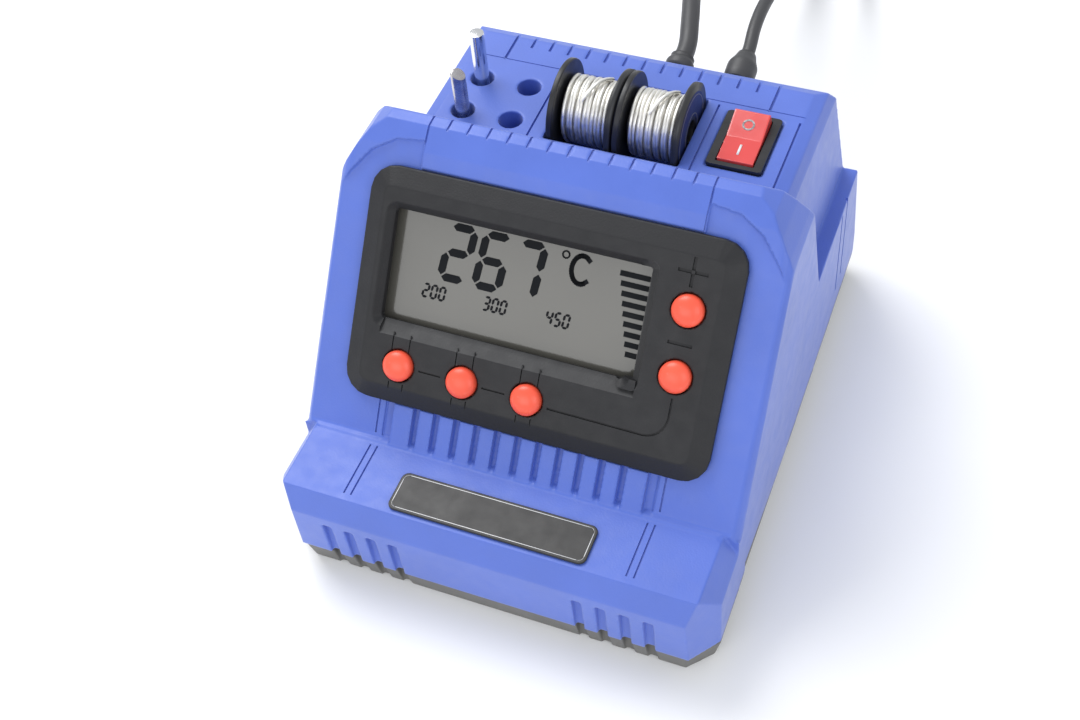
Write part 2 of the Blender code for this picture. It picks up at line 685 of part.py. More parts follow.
def make_bezel():
    back = -SEAT_DEPTH + GAP
    bevel, drop = BEZEL_BEVEL
    outline = rectangle(BEZEL_SIZE, corner=BEZEL_CORNER)
    heights = ((0, back), (0, BEZEL_PROUD - drop), (bevel, BEZEL_PROUD))
    sections = [[(x, y, z) for x, y in inset(outline, d)] for d, z in heights]
    bezel = loft("display_bezel", sections, DARK, PANEL)
    outer = [s - 2 * SKIRT_INSET for s in BEZEL_SIZE]
    inner = [s - 2 * SKIRT_WALL for s in outer]
    corner = BEZEL_CORNER - SKIRT_INSET
    skirt = prism("bezel_skirt", rectangle(outer, corner=corner), back - SKIRT_DEPTH, back + 0.0005, matrix=PANEL)
    cut(skirt, prism("skirt_inside", rectangle(inner, corner=corner / 2), -0.03, back, matrix=PANEL))
    join(bezel, skirt)
    for k, place in enumerate(POST_PLACES):
        low = -BOARD_DROP + GAP
        join(bezel, drum(f"post_{k}", POST_RADIUS, low, back + 0.0005, place, matrix=PANEL, steps=12))
    for k, place in enumerate(POST_PLACES):
        cut(bezel, drum(f"post_hole_{k}", SCREW_RADIUS + GAP, -0.01, back + 0.0015, place, matrix=PANEL, steps=12))
    flare = [s + 2 * WINDOW_FLARE for s in WINDOW_SIZE]
    mouth = rectangle(flare, WINDOW_CENTRE, 0.003)
    throat = rectangle(WINDOW_SIZE, WINDOW_CENTRE, 0.001)
    levels = ((throat, -0.02), (throat, BEZEL_PROUD - WINDOW_FLARE), (mouth, BEZEL_PROUD), (mouth, BEZEL_PROUD + 0.01))
    cut(bezel, loft("window", [[(x, y, z) for x, y in ring] for ring, z in levels], matrix=PANEL))
    for k, (u, v) in enumerate(button_places().values()):
        cut(bezel, drum(f"button_hole_{k}", BUTTON_RADIUS + BUTTON_CLEARANCE, -0.01, 0.01, (u, v), matrix=PANEL))
    return bezel


def button_places():
    places = {f"button_preset_{k + 1}": (u, PRESET_V) for k, u in enumerate(PRESET_US)}
    places["button_plus"] = (STEP_U, PLUS_V)
    places["button_minus"] = (STEP_U, MINUS_V)
    return places


def make_buttons():
    back = -SEAT_DEPTH + GAP
    top = BEZEL_PROUD + 0.0004
    dome = []
    for k in range(6):
        turn = math.pi / 2 * k / 5
        dome.append((BUTTON_RADIUS * math.sin(turn), top + BUTTON_DOME * math.cos(turn)))
    flange = back - GAP
    profile = dome + [
        (BUTTON_RADIUS, flange),
        (BUTTON_RADIUS + BUTTON_RIM, flange),
        (BUTTON_RADIUS + BUTTON_RIM, flange - 0.0008),
        (BUTTON_RADIUS * 0.5, flange - 0.0008),
        (BUTTON_RADIUS * 0.5, -BOARD_DROP + BUTTON_TRAVEL + GAP),
        (0, -BOARD_DROP + BUTTON_TRAVEL + GAP),
    ]
    for name, (u, v) in button_places().items():
        turned(name, profile, RED, PANEL @ Matrix.Translation((u, v, 0)), steps=20)


def make_display():
    back = -SEAT_DEPTH + GAP
    size = [s + 2 * LCD_MARGIN for s in WINDOW_SIZE]
    top = back - GAP
    prism("lcd_module", rectangle(size, WINDOW_CENTRE), top - LCD_THICK, top, ((0.30, 0.31, 0.27), 0.2), PANEL)
    board = prism(
        "control_board", rectangle(BOARD_SIZE), -BOARD_DROP - BOARD_THICK, -BOARD_DROP, ((0.02, 0.16, 0.06), 0.4), PANEL
    )
    for k, (u, v) in enumerate(POST_PLACES):
        cut(board, drum(f"board_hole_{k}", SCREW_RADIUS + GAP, -0.01, 0.0, (u, v), matrix=PANEL, steps=12))
        under = -BOARD_DROP - BOARD_THICK - GAP
        head = [(0, under - 0.0014), (0.0018, under - 0.0014), (0.0018, under)]
        head += [(SCREW_RADIUS, under), (SCREW_RADIUS, under + 0.0036), (0, under + 0.0036)]
        turned(f"board_screw_{k + 1}", head[::-1], STEEL, PANEL @ Matrix.Translation((u, v, 0)), steps=12)


# ---- deck pieces ----------------------------------------------------------------------------------


def make_switch():
    x, y = SWITCH_CENTRE
    floor = DECK_Z - SWITCH_RECESS + GAP
    top = floor + SWITCH_PLATE
    frame = prism("switch_housing", rectangle(SWITCH_FRAME, SWITCH_CENTRE, 0.0008, 2), floor, top, BLACK)
    body = rectangle(SWITCH_BODY[:2], SWITCH_CENTRE)
    join(frame, prism("switch_body", body, floor - SWITCH_BODY[2], floor + 0.0005))
    cut(frame, prism("switch_well", rectangle(ROCKER_OPENING, SWITCH_CENTRE), top - 0.0105, top + 0.01))
    pivot = top - 0.0010
    radius = math.hypot(ROCKER_SIZE[1] / 2, 0.0030)
    low = [math.asin(0.0030 / radius) - math.radians(11 * k) for k in range(5)]
    right = [(radius * math.cos(a), radius * math.sin(a)) for a in low] + [(0.0042, -0.0062)]
    outline = right + [(-a, b) for a, b in reversed(right)] + [(0, 0.0020)]
    turn = Matrix.Translation((x, y, pivot)) @ Matrix.Rotation(ROCKER_TILT, 4, "X") @ SIDE
    prism("switch_rocker", outline[::-1], -ROCKER_SIZE[0] / 2, ROCKER_SIZE[0] / 2, RED, turn)


def spool_layout():
    """(name, left end, right end) of the two spools side by side in the bay."""
    clear = BAY_X[1] - BAY_X[0] - 3 * SPOOL_GAP
    width = clear / 2
    first = BAY_X[0] + SPOOL_GAP
    second = first + width + SPOOL_GAP
    return [("left", first, first + width), ("right", second, second + width)]


def make_spools():
    middle = (BAY_Y[0] + BAY_Y[1]) / 2
    for side, low, high in spool_layout():
        half = (high - low) / 2
        place = Matrix.Translation(((low + high) / 2, middle, SPOOL_Z)) @ Matrix.Rotation(math.pi / 2, 4, "Y")
        profile = [
            (SPOOL_RADIUS, half),
            (SPOOL_RADIUS, half - FLANGE),
            (SPOOL_CORE, half - FLANGE),
            (SPOOL_CORE, FLANGE - half),
            (SPOOL_RADIUS, FLANGE - half),
            (SPOOL_RADIUS, -half),
            (SPOOL_BORE, -half),
            (SPOOL_BORE, half),
        ]
        turned(f"solder_spool_{side}", profile, BLACK, place, steps=40)
        end = half - FLANGE - GAP
        ring = [(WIRE_RADIUS, end), (WIRE_RADIUS, -end), (SPOOL_CORE + GAP, -end), (SPOOL_CORE + GAP, end)]
        turned(f"solder_wire_{side}", ring, SOLDER, place, steps=32)


def make_tips():
    foot = DECK_Z - SOCKET_DEPTH + GAP
    names = (("spare_tip_chisel", TIP_YS[0], TIP_HEIGHTS[0]), ("spare_tip_round", TIP_YS[1], TIP_HEIGHTS[1]))
    for name, y, height in names:
        top = DECK_Z + height
        profile = [
            (0, top),
            (TIP_RADIUS - 0.0003, top),
            (TIP_RADIUS, top - 0.0003),
            (TIP_RADIUS, DECK_Z - 0.004),
            (TIP_RADIUS * 1.5, DECK_Z - 0.005),
            (TIP_RADIUS * 1.5, foot),
            (0, foot),
        ]
        tip = turned(name, profile, STEEL, Matrix.Translation((TIP_XS[0], y, 0)), steps=20)
        if name == "spare_tip_chisel":
            slope = Matrix.Translation((TIP_XS[0], y, top)) @ Matrix.Rotation(math.radians(28), 4, "Y")
            cut(tip, box("chisel_cut", (-0.01, -0.01, -0.0005), (0.01, 0.01, 0.01), matrix=slope))


def make_label():
    """The rating plate: a thin printed plate on the ledge."""
    foot = panel_at((LEDGE_Z - PANEL_Z) / math.sin(PANEL_ANGLE))[0]
    depth = foot - LEDGE_FRONT_Y
    size = (0.0545, depth * LABEL_SHARE)
    centre = (0.0, LEDGE_FRONT_Y + depth * LABEL_PLACE)
    low = LEDGE_Z + GAP
    prism("rating_plate", rectangle(size, centre, 0.0020), low, low + 0.0005, DARK)


# ---- inside and below -----------------------------------------------------------------------------


def make_transformer():
    x, y = TRANSFORMER_CENTRE
    width, depth, height = CORE_SIZE
    low = FLOOR + GAP
    place = Matrix.Translation((x, y, low + height / 2))
    core = prism("transformer_core", rectangle((width, height)), -depth / 2, depth / 2, STEEL, place @ FACE)
    window = ((width - CORE_LEG) / 2 - CORE_YOKE, height - 2 * CORE_YOKE)
    reach = CORE_LEG / 2 + window[0] / 2
    for side in (-1, 1):
        hole = rectangle(window, (side * reach, 0))
        cut(core, prism(f"core_window_{side}", hole, -depth, depth, matrix=place @ FACE))
        foot_x = x + side * (width / 2 + 0.0045)
        foot = box(f"core_foot_{side}", (foot_x - 0.0055, y - 0.006, low), (foot_x + 0.0055, y + 0.006, low + 0.002))
        join(core, foot)
    for k, (hole_x, hole_y) in enumerate(transformer_screws()):
        cut(core, drum(f"foot_hole_{k}", HOUSING_SCREW_RADIUS + GAP, -0.01, 0.02, (hole_x, hole_y), steps=16))
    size = (CORE_LEG + 2 * (window[0] - GAP), window[1] - 2 * GAP)
    ring = prism(
        "transformer_winding",
        rectangle((size[0], depth + 2 * window[0] - 0.002), corner=0.006),
        -size[1] / 2,
        size[1] / 2,
        ((0.75, 0.55, 0.15), 0.6),
        place,
    )
    leg = rectangle((CORE_LEG + 2 * GAP, depth + 2 * GAP))
    cut(ring, prism("winding_hole", leg, -height, height, matrix=place))


def screw_profile(radius, length, head_radius, head_height):
    """Head down, shank up, from the underside of the head at zero."""
    return [
        (0, length),
        (radius, length),
        (radius, 0),
        (head_radius, 0),
        (head_radius, -head_height),
        (0, -head_height),
    ]


def make_fixings():
    shape = screw_profile(HOUSING_SCREW_RADIUS, 0.0130, HEAD_RADIUS, HEAD_HEIGHT)
    for k, (x, y) in enumerate(SCREW_PLACES):
        place = Matrix.Translation((x, y, HEAD_HEIGHT + 0.0010 - GAP))
        turned(f"housing_screw_{k + 1}", shape, STEEL, place, steps=16)
    for k, (x, y) in enumerate(PAD_PLACES):
        drum(f"rubber_foot_{k + 1}", FOOT_PAD_RADIUS, 0, FOOT_PAD_DEPTH, (x, y), BLACK)
    flange_top = FLOOR + GAP + 0.002
    shape = screw_profile(HOUSING_SCREW_RADIUS, flange_top + GAP - 0.0006, HEAD_RADIUS, 0.0018)
    for k, (x, y) in enumerate(transformer_screws()):
        flip = Matrix.Translation((x, y, flange_top + GAP)) @ Matrix.Rotation(math.pi, 4, "X")
        turned(f"transformer_screw_{k + 1}", shape, STEEL, flip, steps=16)


# ---- leads ------------------------------------------------------------------------------------------


def relief_profile(wall_radius, cord_radius, collar, length):
    """A grommet: a body in the wall's hole, a round collar outside and a taper along the cord."""
    bore = cord_radius + GAP
    inside = -WALL - 0.0012
    return [
        (cord_radius + 0.0008, length),
        (collar - 0.0010, length * 0.8),
        (collar, length * 0.6),
        (collar, length * 0.2),
        (collar - 0.0005, GAP),
        (wall_radius - GAP, GAP),
        (wall_radius - GAP, inside),
        (bore, inside),
        (bore, length),
    ]


def make_reliefs():
    turned("mains_strain_relief", relief_profile(GLAND_MAINS, MAINS_RADIUS, 0.0041, 0.0050), CORD, exit_frame(MAINS_X))
    turned("iron_strain_relief", relief_profile(GLAND_IRON, CABLE_RADIUS, 0.0043, 0.0100), CORD, exit_frame(IRON_X))



# Routes: the first points lie on the axis of the exit, and the next ones keep their height relative to it
MAINS_STRAIGHT = (-0.0026, 0.0040, 0.0092)
IRON_STRAIGHT = (-0.0026, 0.0040, 0.0118)
ROUTE_EXIT = (0.0770, 0.0775)  # (y, z) of the exit that the routes below are drawn from

MAINS_ROUTE = (
    (0.0052, 0.0940, 0.0812),
    (0.0020, 0.1060, 0.0820),
    (-0.0004, 0.1180, 0.0808),
    (-0.0014, 0.1310, 0.0762),
    (-0.0012, 0.1450, 0.0676),
    (-0.0002, 0.1600, 0.0560),
    (0.0014, 0.1750, 0.0434),
    (0.0034, 0.1900, 0.0310),
    (0.0056, 0.2050, 0.0199),
    (0.0076, 0.2200, 0.0110),
    (0.0089, 0.2350, 0.0053),
    (0.0095, 0.2520, 0.0031),
    (0.0095, 0.2728, 0.0029),
)

MAINS_TAIL = (
    (-0.0402, 0.3362, 0.0070),
    (-0.0458, 0.3430, 0.0058),
    (-0.0488, 0.3510, 0.0061),
    (-0.0500, 0.3585, 0.0069),
    (-0.0500, 0.3640, 0.0069),
    (-0.0500, 0.3700, 0.0069),
)

IRON_ROUTE = (
    (0.0234, 0.0970, 0.0816),
    (0.0232, 0.1060, 0.0820),
    (0.0238, 0.1180, 0.0808),
    (0.0244, 0.1310, 0.0762),
    (0.0249, 0.1450, 0.0676),
    (0.0254, 0.1600, 0.0560),
    (0.0257, 0.1750, 0.0434),
    (0.0260, 0.1900, 0.0310),
    (0.0262, 0.2050, 0.0199),
    (0.0264, 0.2200, 0.0110),
    (0.0265, 0.2350, 0.0053),
    (0.0265, 0.2520, 0.0025),
    (0.0265, 0.2800, 0.0021),
    (0.0265, 0.3100, 0.0021),
    (0.0265, 0.3350, 0.0021),
    (0.0265, 0.3593, 0.0021),
)

IRON_TAIL = (
    (0.0265, 0.3907, 0.0050),
    (0.0262, 0.4000, 0.0030),
    (0.0260, 0.4120, 0.0021),
    (0.0266, 0.4310, 0.0021),
    (0.0300, 0.4440, 0.0024),
    (0.0372, 0.4495, 0.0040),
    (0.0446, 0.4450, 0.0075),
    (0.0476, 0.4360, 0.0105),
    (0.0480, 0.4275, 0.0112),
    (0.0480, 0.4180, 0.0112),
    (0.0480, 0.4090, 0.0112),
)


def route_from(x, radius, straight, points):
    """The route from the exit: it starts square out of the wall and falls from there to the bench."""
    frame = exit_frame(x)
    start = [frame @ Vector((0, 0, along)) for along in straight]
    shift = rear_y(EXIT_Z) - ROUTE_EXIT[0]
    route = []
    for px, py, pz in points:
        fall = (pz - radius) / (ROUTE_EXIT[1] - radius)
        route.append(Vector((px, py + shift * max(fall, 0), radius + fall * (EXIT_Z - radius))))
    return start + route


def make_leads():
    tube("mains_lead", route_from(MAINS_X, MAINS_RADIUS, MAINS_STRAIGHT, MAINS_ROUTE), MAINS_RADIUS, CORD)
    tube("mains_lead_tail", MAINS_TAIL, MAINS_RADIUS, CORD)
    inner, outer = MAINS_COIL_RADII
    ring = [(outer, MAINS_COIL_HEIGHT), (outer, 0), (inner, 0), (inner, MAINS_COIL_HEIGHT)]
    turned("mains_lead_coil", ring, CORD, Matrix.Translation((*MAINS_COIL, 0)), steps=32)
    tube("iron_cable", route_from(IRON_X, CABLE_RADIUS, IRON_STRAIGHT, IRON_ROUTE), CABLE_RADIUS, CORD)
    tube("iron_cable_tail", IRON_TAIL, CABLE_RADIUS, CORD)
    inner, outer = CABLE_COIL_RADII
    ring = [(outer, CABLE_COIL_HEIGHT), (outer, 0), (inner, 0), (inner, CABLE_COIL_HEIGHT)]
    turned("iron_cable_coil", ring, CORD, Matrix.Translation((*CABLE_COIL, 0)), steps=32)


def make_plug():
    """A flat two-pin plug, lying on its broad side."""
    width, length, height = PLUG_SIZE
    middle = height / 2
    stations = (
        (PLUG_CORD_Y, 0.0086, 0.0086),
        (PLUG_Y - 0.001, 0.0110, 0.0100),
        (PLUG_Y, 0.0220, 0.0126),
        (PLUG_Y + 0.012, 0.0290, height),
        (PLUG_Y + 0.018, width, height),
        (PLUG_Y + length - 0.0015, width, height),
        (PLUG_Y + length, width - 0.003, height - 0.003),
    )
    sections = []
    for y, wide, tall in stations:
        outline = rectangle((wide, tall), (PLUG_X, middle), min(wide, tall) * 0.42, 3)
        sections.append([(x, y, z) for x, z in outline])
    plug = loft("mains_plug", sections, DARK)
    along = Matrix.Translation((PLUG_X, 0, middle)) @ Matrix.Rotation(-math.pi / 2, 4, "X")
    bore = drum("plug_bore", MAINS_RADIUS + GAP, PLUG_CORD_Y - 0.01, PLUG_CORD_Y + 0.0053, matrix=along, steps=16)
    cut(plug, bore)
    root = PLUG_Y + length - PIN_ROOT
    for k, side in enumerate((-1, 1)):
        place = side * PIN_SPACING / 2, 0
        cut(plug, drum(f"pin_hole_{k}", PIN_RADIUS + GAP, root, root + 0.03, place, matrix=along, steps=16))
        end = PLUG_Y + length + PIN_REACH
        profile = [(0, end), (PIN_RADIUS - 0.0006, end), (PIN_RADIUS, end - 0.001), (PIN_RADIUS, root + GAP)]
        pin = along @ Matrix.Translation((place[0], 0, 0))
        turned(f"plug_pin_{k + 1}", profile + [(0, root + GAP)], BRASS, pin, steps=16)


def make_iron():
    """The pieces of the iron, one behind the other along Y. Distances run from its rear end."""
    turn = Matrix.Rotation(math.pi / 2, 4, "X")
    place = Matrix.Translation((IRON_AXIS_X, IRON_REAR_Y, IRON_RADIUS)) @ turn
    radius = IRON_RADIUS
    bore = CABLE_RADIUS + GAP
    relief = [
        (0.0056, -GAP),
        (0.0056, -0.0040),
        (0.0046, -0.0050),
        (CABLE_RADIUS + 0.0008, -TAIL_RELIEF),
        (bore, -TAIL_RELIEF),
        (bore, 0.0040),
        (0.0044, 0.0040),
        (0.0044, -GAP),
    ]
    turned("iron_cable_relief", relief, BLACK, place)
    end = HANDLE_LENGTH
    handle = [
        (0.0046, end),
        (radius - 0.0022, end),
        (radius - 0.0022, end - 0.0060),
        (radius - 0.0008, end - 0.0100),
        (radius - 0.0008, 0.0200),
        (radius, 0.0120),
        (radius, 0.0030),
        (radius - 0.0020, 0.0),
        (0.0044 + GAP, 0.0),
        (0.0044 + GAP, 0.0050),
        (0.0030, 0.0050),
        (0.0030, 0.0100),
        (0.0046, 0.0110),
    ]
    turned("iron_handle", handle, BLUE, place)
    start, end = end + GAP, end + GRIP_LENGTH
    grip = [
        (0.0046, end),
        (radius - 0.0010, end),
        (radius, end - 0.0012),
        (radius, end - 0.0060),
        (radius - 0.0018, end - 0.0110),
        (radius - 0.0018, start + 0.0080),
        (radius - 0.0008, start + 0.0040),
        (radius - 0.0010, start),
        (0.0046, start),
    ]
    turned("iron_grip", grip, BLACK, place)
    start, end = end + GAP, end + COLLAR_LENGTH
    collar = [
        (BARREL_RADIUS + GAP, end),
        (0.0056, end),
        (0.0066, end - 0.0010),
        (0.0066, start + 0.0030),
        (0.0086, start + 0.0020),
        (0.0086, start),
        (BARREL_RADIUS + GAP, start),
    ]
    turned("iron_collar_nut", collar, STEEL, place)
    root = start - 0.0200
    start, end = end, end + BARREL_LENGTH
    tip_root = end - 0.0120
    barrel = [
        (0.0022, end),
        (BARREL_RADIUS - 0.0004, end),
        (BARREL_RADIUS, end - 0.0006),
        (BARREL_RADIUS, root),
        (0, root),
        (0, tip_root),
        (0.0022, tip_root),
    ]
    turned("iron_barrel", barrel, STEEL, place)
    end = end + IRON_TIP_LENGTH
    shank = 0.0022 - GAP
    tip = [
        (0, end),
        (0.0004, end),
        (shank, end - 0.0100),
        (shank, tip_root + GAP),
        (0, tip_root + GAP),
    ]
    turned("iron_tip", tip, STEEL, place, steps=16)


def main():
    global PARTS, CUTTERS
    for old in list(bpy.data.objects):
        bpy.data.objects.remove(old)
    PARTS = bpy.data.collections.new("soldering_station")
    CUTTERS = bpy.data.collections.new("cutters")
    for collection in (PARTS, CUTTERS):
        bpy.context.scene.collection.children.link(collection)
    make_housing()
    make_base()
    make_bezel()
    make_buttons()
    make_display()
    make_switch()
    make_spools()
    make_tips()
    make_label()
    make_transformer()
    make_fixings()
    make_reliefs()
    make_leads()
    make_plug()
    make_iron()


main()
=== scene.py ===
"""Soldering station: looks, cords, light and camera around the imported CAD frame. Metres, +Z up."""

import math

import bmesh
import bpy
from mathutils import Matrix, Vector


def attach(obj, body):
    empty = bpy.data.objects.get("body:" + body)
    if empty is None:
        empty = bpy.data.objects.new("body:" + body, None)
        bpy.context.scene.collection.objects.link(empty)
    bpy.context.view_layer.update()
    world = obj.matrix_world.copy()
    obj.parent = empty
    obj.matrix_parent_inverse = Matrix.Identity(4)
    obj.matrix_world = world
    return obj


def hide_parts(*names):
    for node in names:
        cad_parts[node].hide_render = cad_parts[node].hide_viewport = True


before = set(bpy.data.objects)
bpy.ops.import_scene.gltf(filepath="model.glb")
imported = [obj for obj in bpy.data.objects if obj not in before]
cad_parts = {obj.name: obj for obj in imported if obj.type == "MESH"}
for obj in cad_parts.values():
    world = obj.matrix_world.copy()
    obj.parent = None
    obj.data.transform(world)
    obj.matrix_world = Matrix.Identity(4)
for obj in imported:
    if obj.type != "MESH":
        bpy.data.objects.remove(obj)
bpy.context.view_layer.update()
SCENE = bpy.context.scene


# ---- camera -----------------------------------------------------------------------------------


def make_camera():
    data = bpy.data.cameras.new("camera")
    data.lens = 52.47
    data.sensor_width = 36.0
    data.clip_start = 0.01
    camera = bpy.data.objects.new("camera", data)
    SCENE.collection.objects.link(camera)
    right = Vector((0.92756, 0.36612, -0.07478))
    up = Vector((-0.23889, 0.73487, 0.63474))
    back = Vector((0.28734, -0.57089, 0.76910))
    place = Matrix.Translation((0.117063, -0.247235, 0.367637))
    turn = Matrix((right, up, back)).transposed().to_4x4()
    camera.matrix_world = place @ turn
    SCENE.camera = camera


make_camera()


# ---- cords --------------------------------------------------------------------------------------

PARTS = bpy.data.collections.new("looks")
SCENE.collection.children.link(PARTS)
MAINS_X, IRON_X = 0.0070, 0.0242
MAINS_RADIUS, IRON_RADIUS = 0.00265, 0.0019
MAINS_COIL, IRON_COIL = (-0.029, 0.295), (0.0, 0.375)
COIL_STEPS = 24


def wound(centre, radii, heights, extra):
    """Turns of a coil: inwards on the floor, then outwards on top, then an extra share of a turn.

    Angles run anticlockwise from +X.
    """
    points = []
    turns = [(r, heights[0]) for r in radii] + [(r, heights[1]) for r in reversed(radii)]
    turns.append((radii[0], heights[1]))
    last = len(radii) * 2 * COIL_STEPS + round(extra * COIL_STEPS)
    for k in range(last + 1):
        turn, part = divmod(k, COIL_STEPS)
        part = part / COIL_STEPS
        radius, height = turns[turn]
        after = turns[min(turn + 1, len(turns) - 1)]
        # The cord moves over to the next turn within a sixth of a turn
        start = 5 / 6 if turn < len(radii) else 4 / 6
        t = min(max((part - start) * 6, 0), 1)
        t = t * t * (3 - 2 * t)
        radius += (after[0] - radius) * t
        height += (after[1] - height) * t
        angle = 2 * math.pi * part
        points.append((centre[0] + radius * math.cos(angle), centre[1] + radius * math.sin(angle), height))
    return points


def cord_curve(name, points, radius):
    curve = bpy.data.curves.new(name, "CURVE")
    curve.dimensions = "3D"
    # The radius is on the points, since a curve's bounds reach out by it
    curve.bevel_depth = 1.0
    curve.bevel_resolution = 6
    curve.resolution_u = 8
    curve.use_fill_caps = True
    spline = curve.splines.new("BEZIER")
    spline.bezier_points.add(len(points) - 1)
    for place, point in zip(spline.bezier_points, points):
        place.co = point
        place.radius = radius
        place.handle_left_type = place.handle_right_type = "AUTO"
    piece = bpy.data.objects.new(name, curve)
    PARTS.objects.link(piece)
    return piece


MAINS_ROUTE = [
    (MAINS_X, 0.07449, 0.07694),
    (MAINS_X, 0.08094, 0.07836),
    (MAINS_X, 0.0860, 0.07947),
    (0.0052, 0.0940, 0.0812),
    (0.0020, 0.1060, 0.0820),
    (-0.0004, 0.1180, 0.0808),
    (-0.0014, 0.1310, 0.0762),
    (-0.0012, 0.1450, 0.0676),
    (-0.0002, 0.1600, 0.0560),
    (0.0014, 0.1750, 0.0434),
    (0.0034, 0.1900, 0.0310),
    (0.0056, 0.2050, 0.0199),
    (0.0076, 0.2200, 0.0110),
    (0.0089, 0.2350, 0.0053),
    (0.0095, 0.2520, 0.0031),
    (0.0095, 0.2728, 0.0029),
]
MAINS_TAIL = [
    (-0.0402, 0.3362, 0.0070),
    (-0.0458, 0.3430, 0.0058),
    (-0.0488, 0.3510, 0.0061),
    (-0.0500, 0.3585, 0.0069),
    (-0.0500, 0.3640, 0.0069),
    (-0.0500, 0.3700, 0.0069),
]
IRON_ROUTE = [
    (IRON_X, 0.07449, 0.07694),
    (IRON_X, 0.08094, 0.07836),
    (IRON_X, 0.0885, 0.08000),
    (0.0234, 0.0970, 0.0816),
    (0.0232, 0.1060, 0.0820),
    (0.0238, 0.1180, 0.0808),
    (0.0244, 0.1310, 0.0762),
    (0.0249, 0.1450, 0.0676),
    (0.0254, 0.1600, 0.0560),
    (0.0257, 0.1750, 0.0434),
    (0.0260, 0.1900, 0.0310),
    (0.0262, 0.2050, 0.0199),
    (0.0264, 0.2200, 0.0110),
    (0.0265, 0.2350, 0.0053),
    (0.0265, 0.2520, 0.0025),
    (0.0265, 0.2800, 0.0021),
    (0.0265, 0.3100, 0.0021),
    (0.0265, 0.3350, 0.0021),
    (0.0265, 0.3593, 0.0021),
]
IRON_TAIL = [
    (0.0265, 0.3907, 0.0050),
    (0.0262, 0.4000, 0.0030),
    (0.0260, 0.4120, 0.0021),
    (0.0266, 0.4310, 0.0021),
    (0.0300, 0.4440, 0.0024),
    (0.0372, 0.4495, 0.0040),
    (0.0446, 0.4450, 0.0075),
    (0.0476, 0.4360, 0.0105),
    (0.0480, 0.4275, 0.0112),
    (0.0480, 0.4180, 0.0112),
    (0.0480, 0.4090, 0.0112),
]


def make_cords():
    mains = MAINS_ROUTE + wound(MAINS_COIL, (0.0385, 0.0331, 0.0277), (0.00275, 0.0081), 0.25)
    lead = cord_curve("mains_flex", mains + MAINS_TAIL, MAINS_RADIUS)
    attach(lead, "station")
    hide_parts("mains_lead", "mains_lead_coil", "mains_lead_tail")
    iron = IRON_ROUTE + wound(IRON_COIL, (0.0265, 0.0226, 0.0187), (0.00195, 0.00585), 0.0)
    cable = cord_curve("iron_flex", iron + IRON_TAIL, IRON_RADIUS)
    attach(cable, "station")
    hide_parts("iron_cable", "iron_cable_coil", "iron_cable_tail")
    return lead, cable


lead, cable = make_cords()


# ---- materials ------------------------------------------------------------------------------------


def shader_of(name, color, roughness, metallic=0.0):
    made = bpy.data.materials.new(name)
    made.use_nodes = True
    shader = made.node_tree.nodes["Principled BSDF"]
    shader.inputs["Base Color"].default_value = (*color, 1)
    shader.inputs["Roughness"].default_value = roughness
    shader.inputs["Metallic"].default_value = metallic
    made.diffuse_color = (*color, 1)
    return made, shader


def noise(tree, scale, detail, stretch=None):
    """A noise field in object space, in metres, its scale in features per metre."""
    where = tree.nodes.new("ShaderNodeTexCoord")
    texture = tree.nodes.new("ShaderNodeTexNoise")
    texture.inputs["Scale"].default_value = scale
    texture.inputs["Detail"].default_value = detail
    source = where.outputs["Object"]
    if stretch:
        mapping = tree.nodes.new("ShaderNodeMapping")
        mapping.inputs["Scale"].default_value = stretch
        tree.links.new(source, mapping.inputs["Vector"])
        source = mapping.outputs["Vector"]
    tree.links.new(source, texture.inputs["Vector"])
    return texture.outputs["Fac"]


def ramp(tree, value, low, high, first, last):
    made = tree.nodes.new("ShaderNodeMapRange")
    made.inputs["From Min"].default_value = low
    made.inputs["From Max"].default_value = high
    made.inputs["To Min"].default_value = first
    made.inputs["To Max"].default_value = last
    tree.links.new(value, made.inputs["Value"])
    return made.outputs["Result"]


def blend_colors(tree, factor, first, last):
    made = tree.nodes.new("ShaderNodeMix")
    made.data_type = "RGBA"
    if hasattr(first, "is_output"):
        tree.links.new(first, made.inputs[6])
    else:
        made.inputs[6].default_value = (*first, 1)
    made.inputs[7].default_value = (*last, 1)
    tree.links.new(factor, made.inputs[0])
    return made.outputs[2]


def bump(tree, shader, height, distance):
    made = tree.nodes.new("ShaderNodeBump")
    made.inputs["Distance"].default_value = distance
    made.inputs["Strength"].default_value = 1.0
    tree.links.new(height, made.inputs["Height"])
    tree.links.new(made.outputs["Normal"], shader.inputs["Normal"])


def moulded(
    name, color, roughness, grain=2200, depth=0.00003, edge=0.12, mottle=0.035, coat=0.0, sheen=0.0, gloss=0.5
):
    """Moulded plastic or rubber: spark-eroded grain, slight mottling, and edges rubbed a little paler."""
    made, shader = shader_of(name, color, roughness)
    tree = made.node_tree
    pale = [c + (1 - c) * 0.25 for c in color]
    dark = [c * (1 - mottle) for c in color]
    light = [min(1, c * (1 + mottle)) for c in color]
    cloud = ramp(tree, noise(tree, 60, 3), 0.35, 0.65, 0, 1)
    base = blend_colors(tree, cloud, dark, light)
    geometry = tree.nodes.new("ShaderNodeNewGeometry")
    rubbed = ramp(tree, geometry.outputs["Pointiness"], 0.53, 0.62, 0, edge)
    base = blend_colors(tree, rubbed, base, pale)
    tree.links.new(base, shader.inputs["Base Color"])
    rough = ramp(tree, noise(tree, 240, 4), 0.3, 0.7, roughness - 0.05, roughness + 0.07)
    tree.links.new(rough, shader.inputs["Roughness"])
    bump(tree, shader, noise(tree, grain, 3), depth)
    shader.inputs["Specular IOR Level"].default_value = gloss
    shader.inputs["Sheen Weight"].default_value = sheen
    if coat:
        shader.inputs["Coat Weight"].default_value = coat
        shader.inputs["Coat Roughness"].default_value = 0.15
    return made


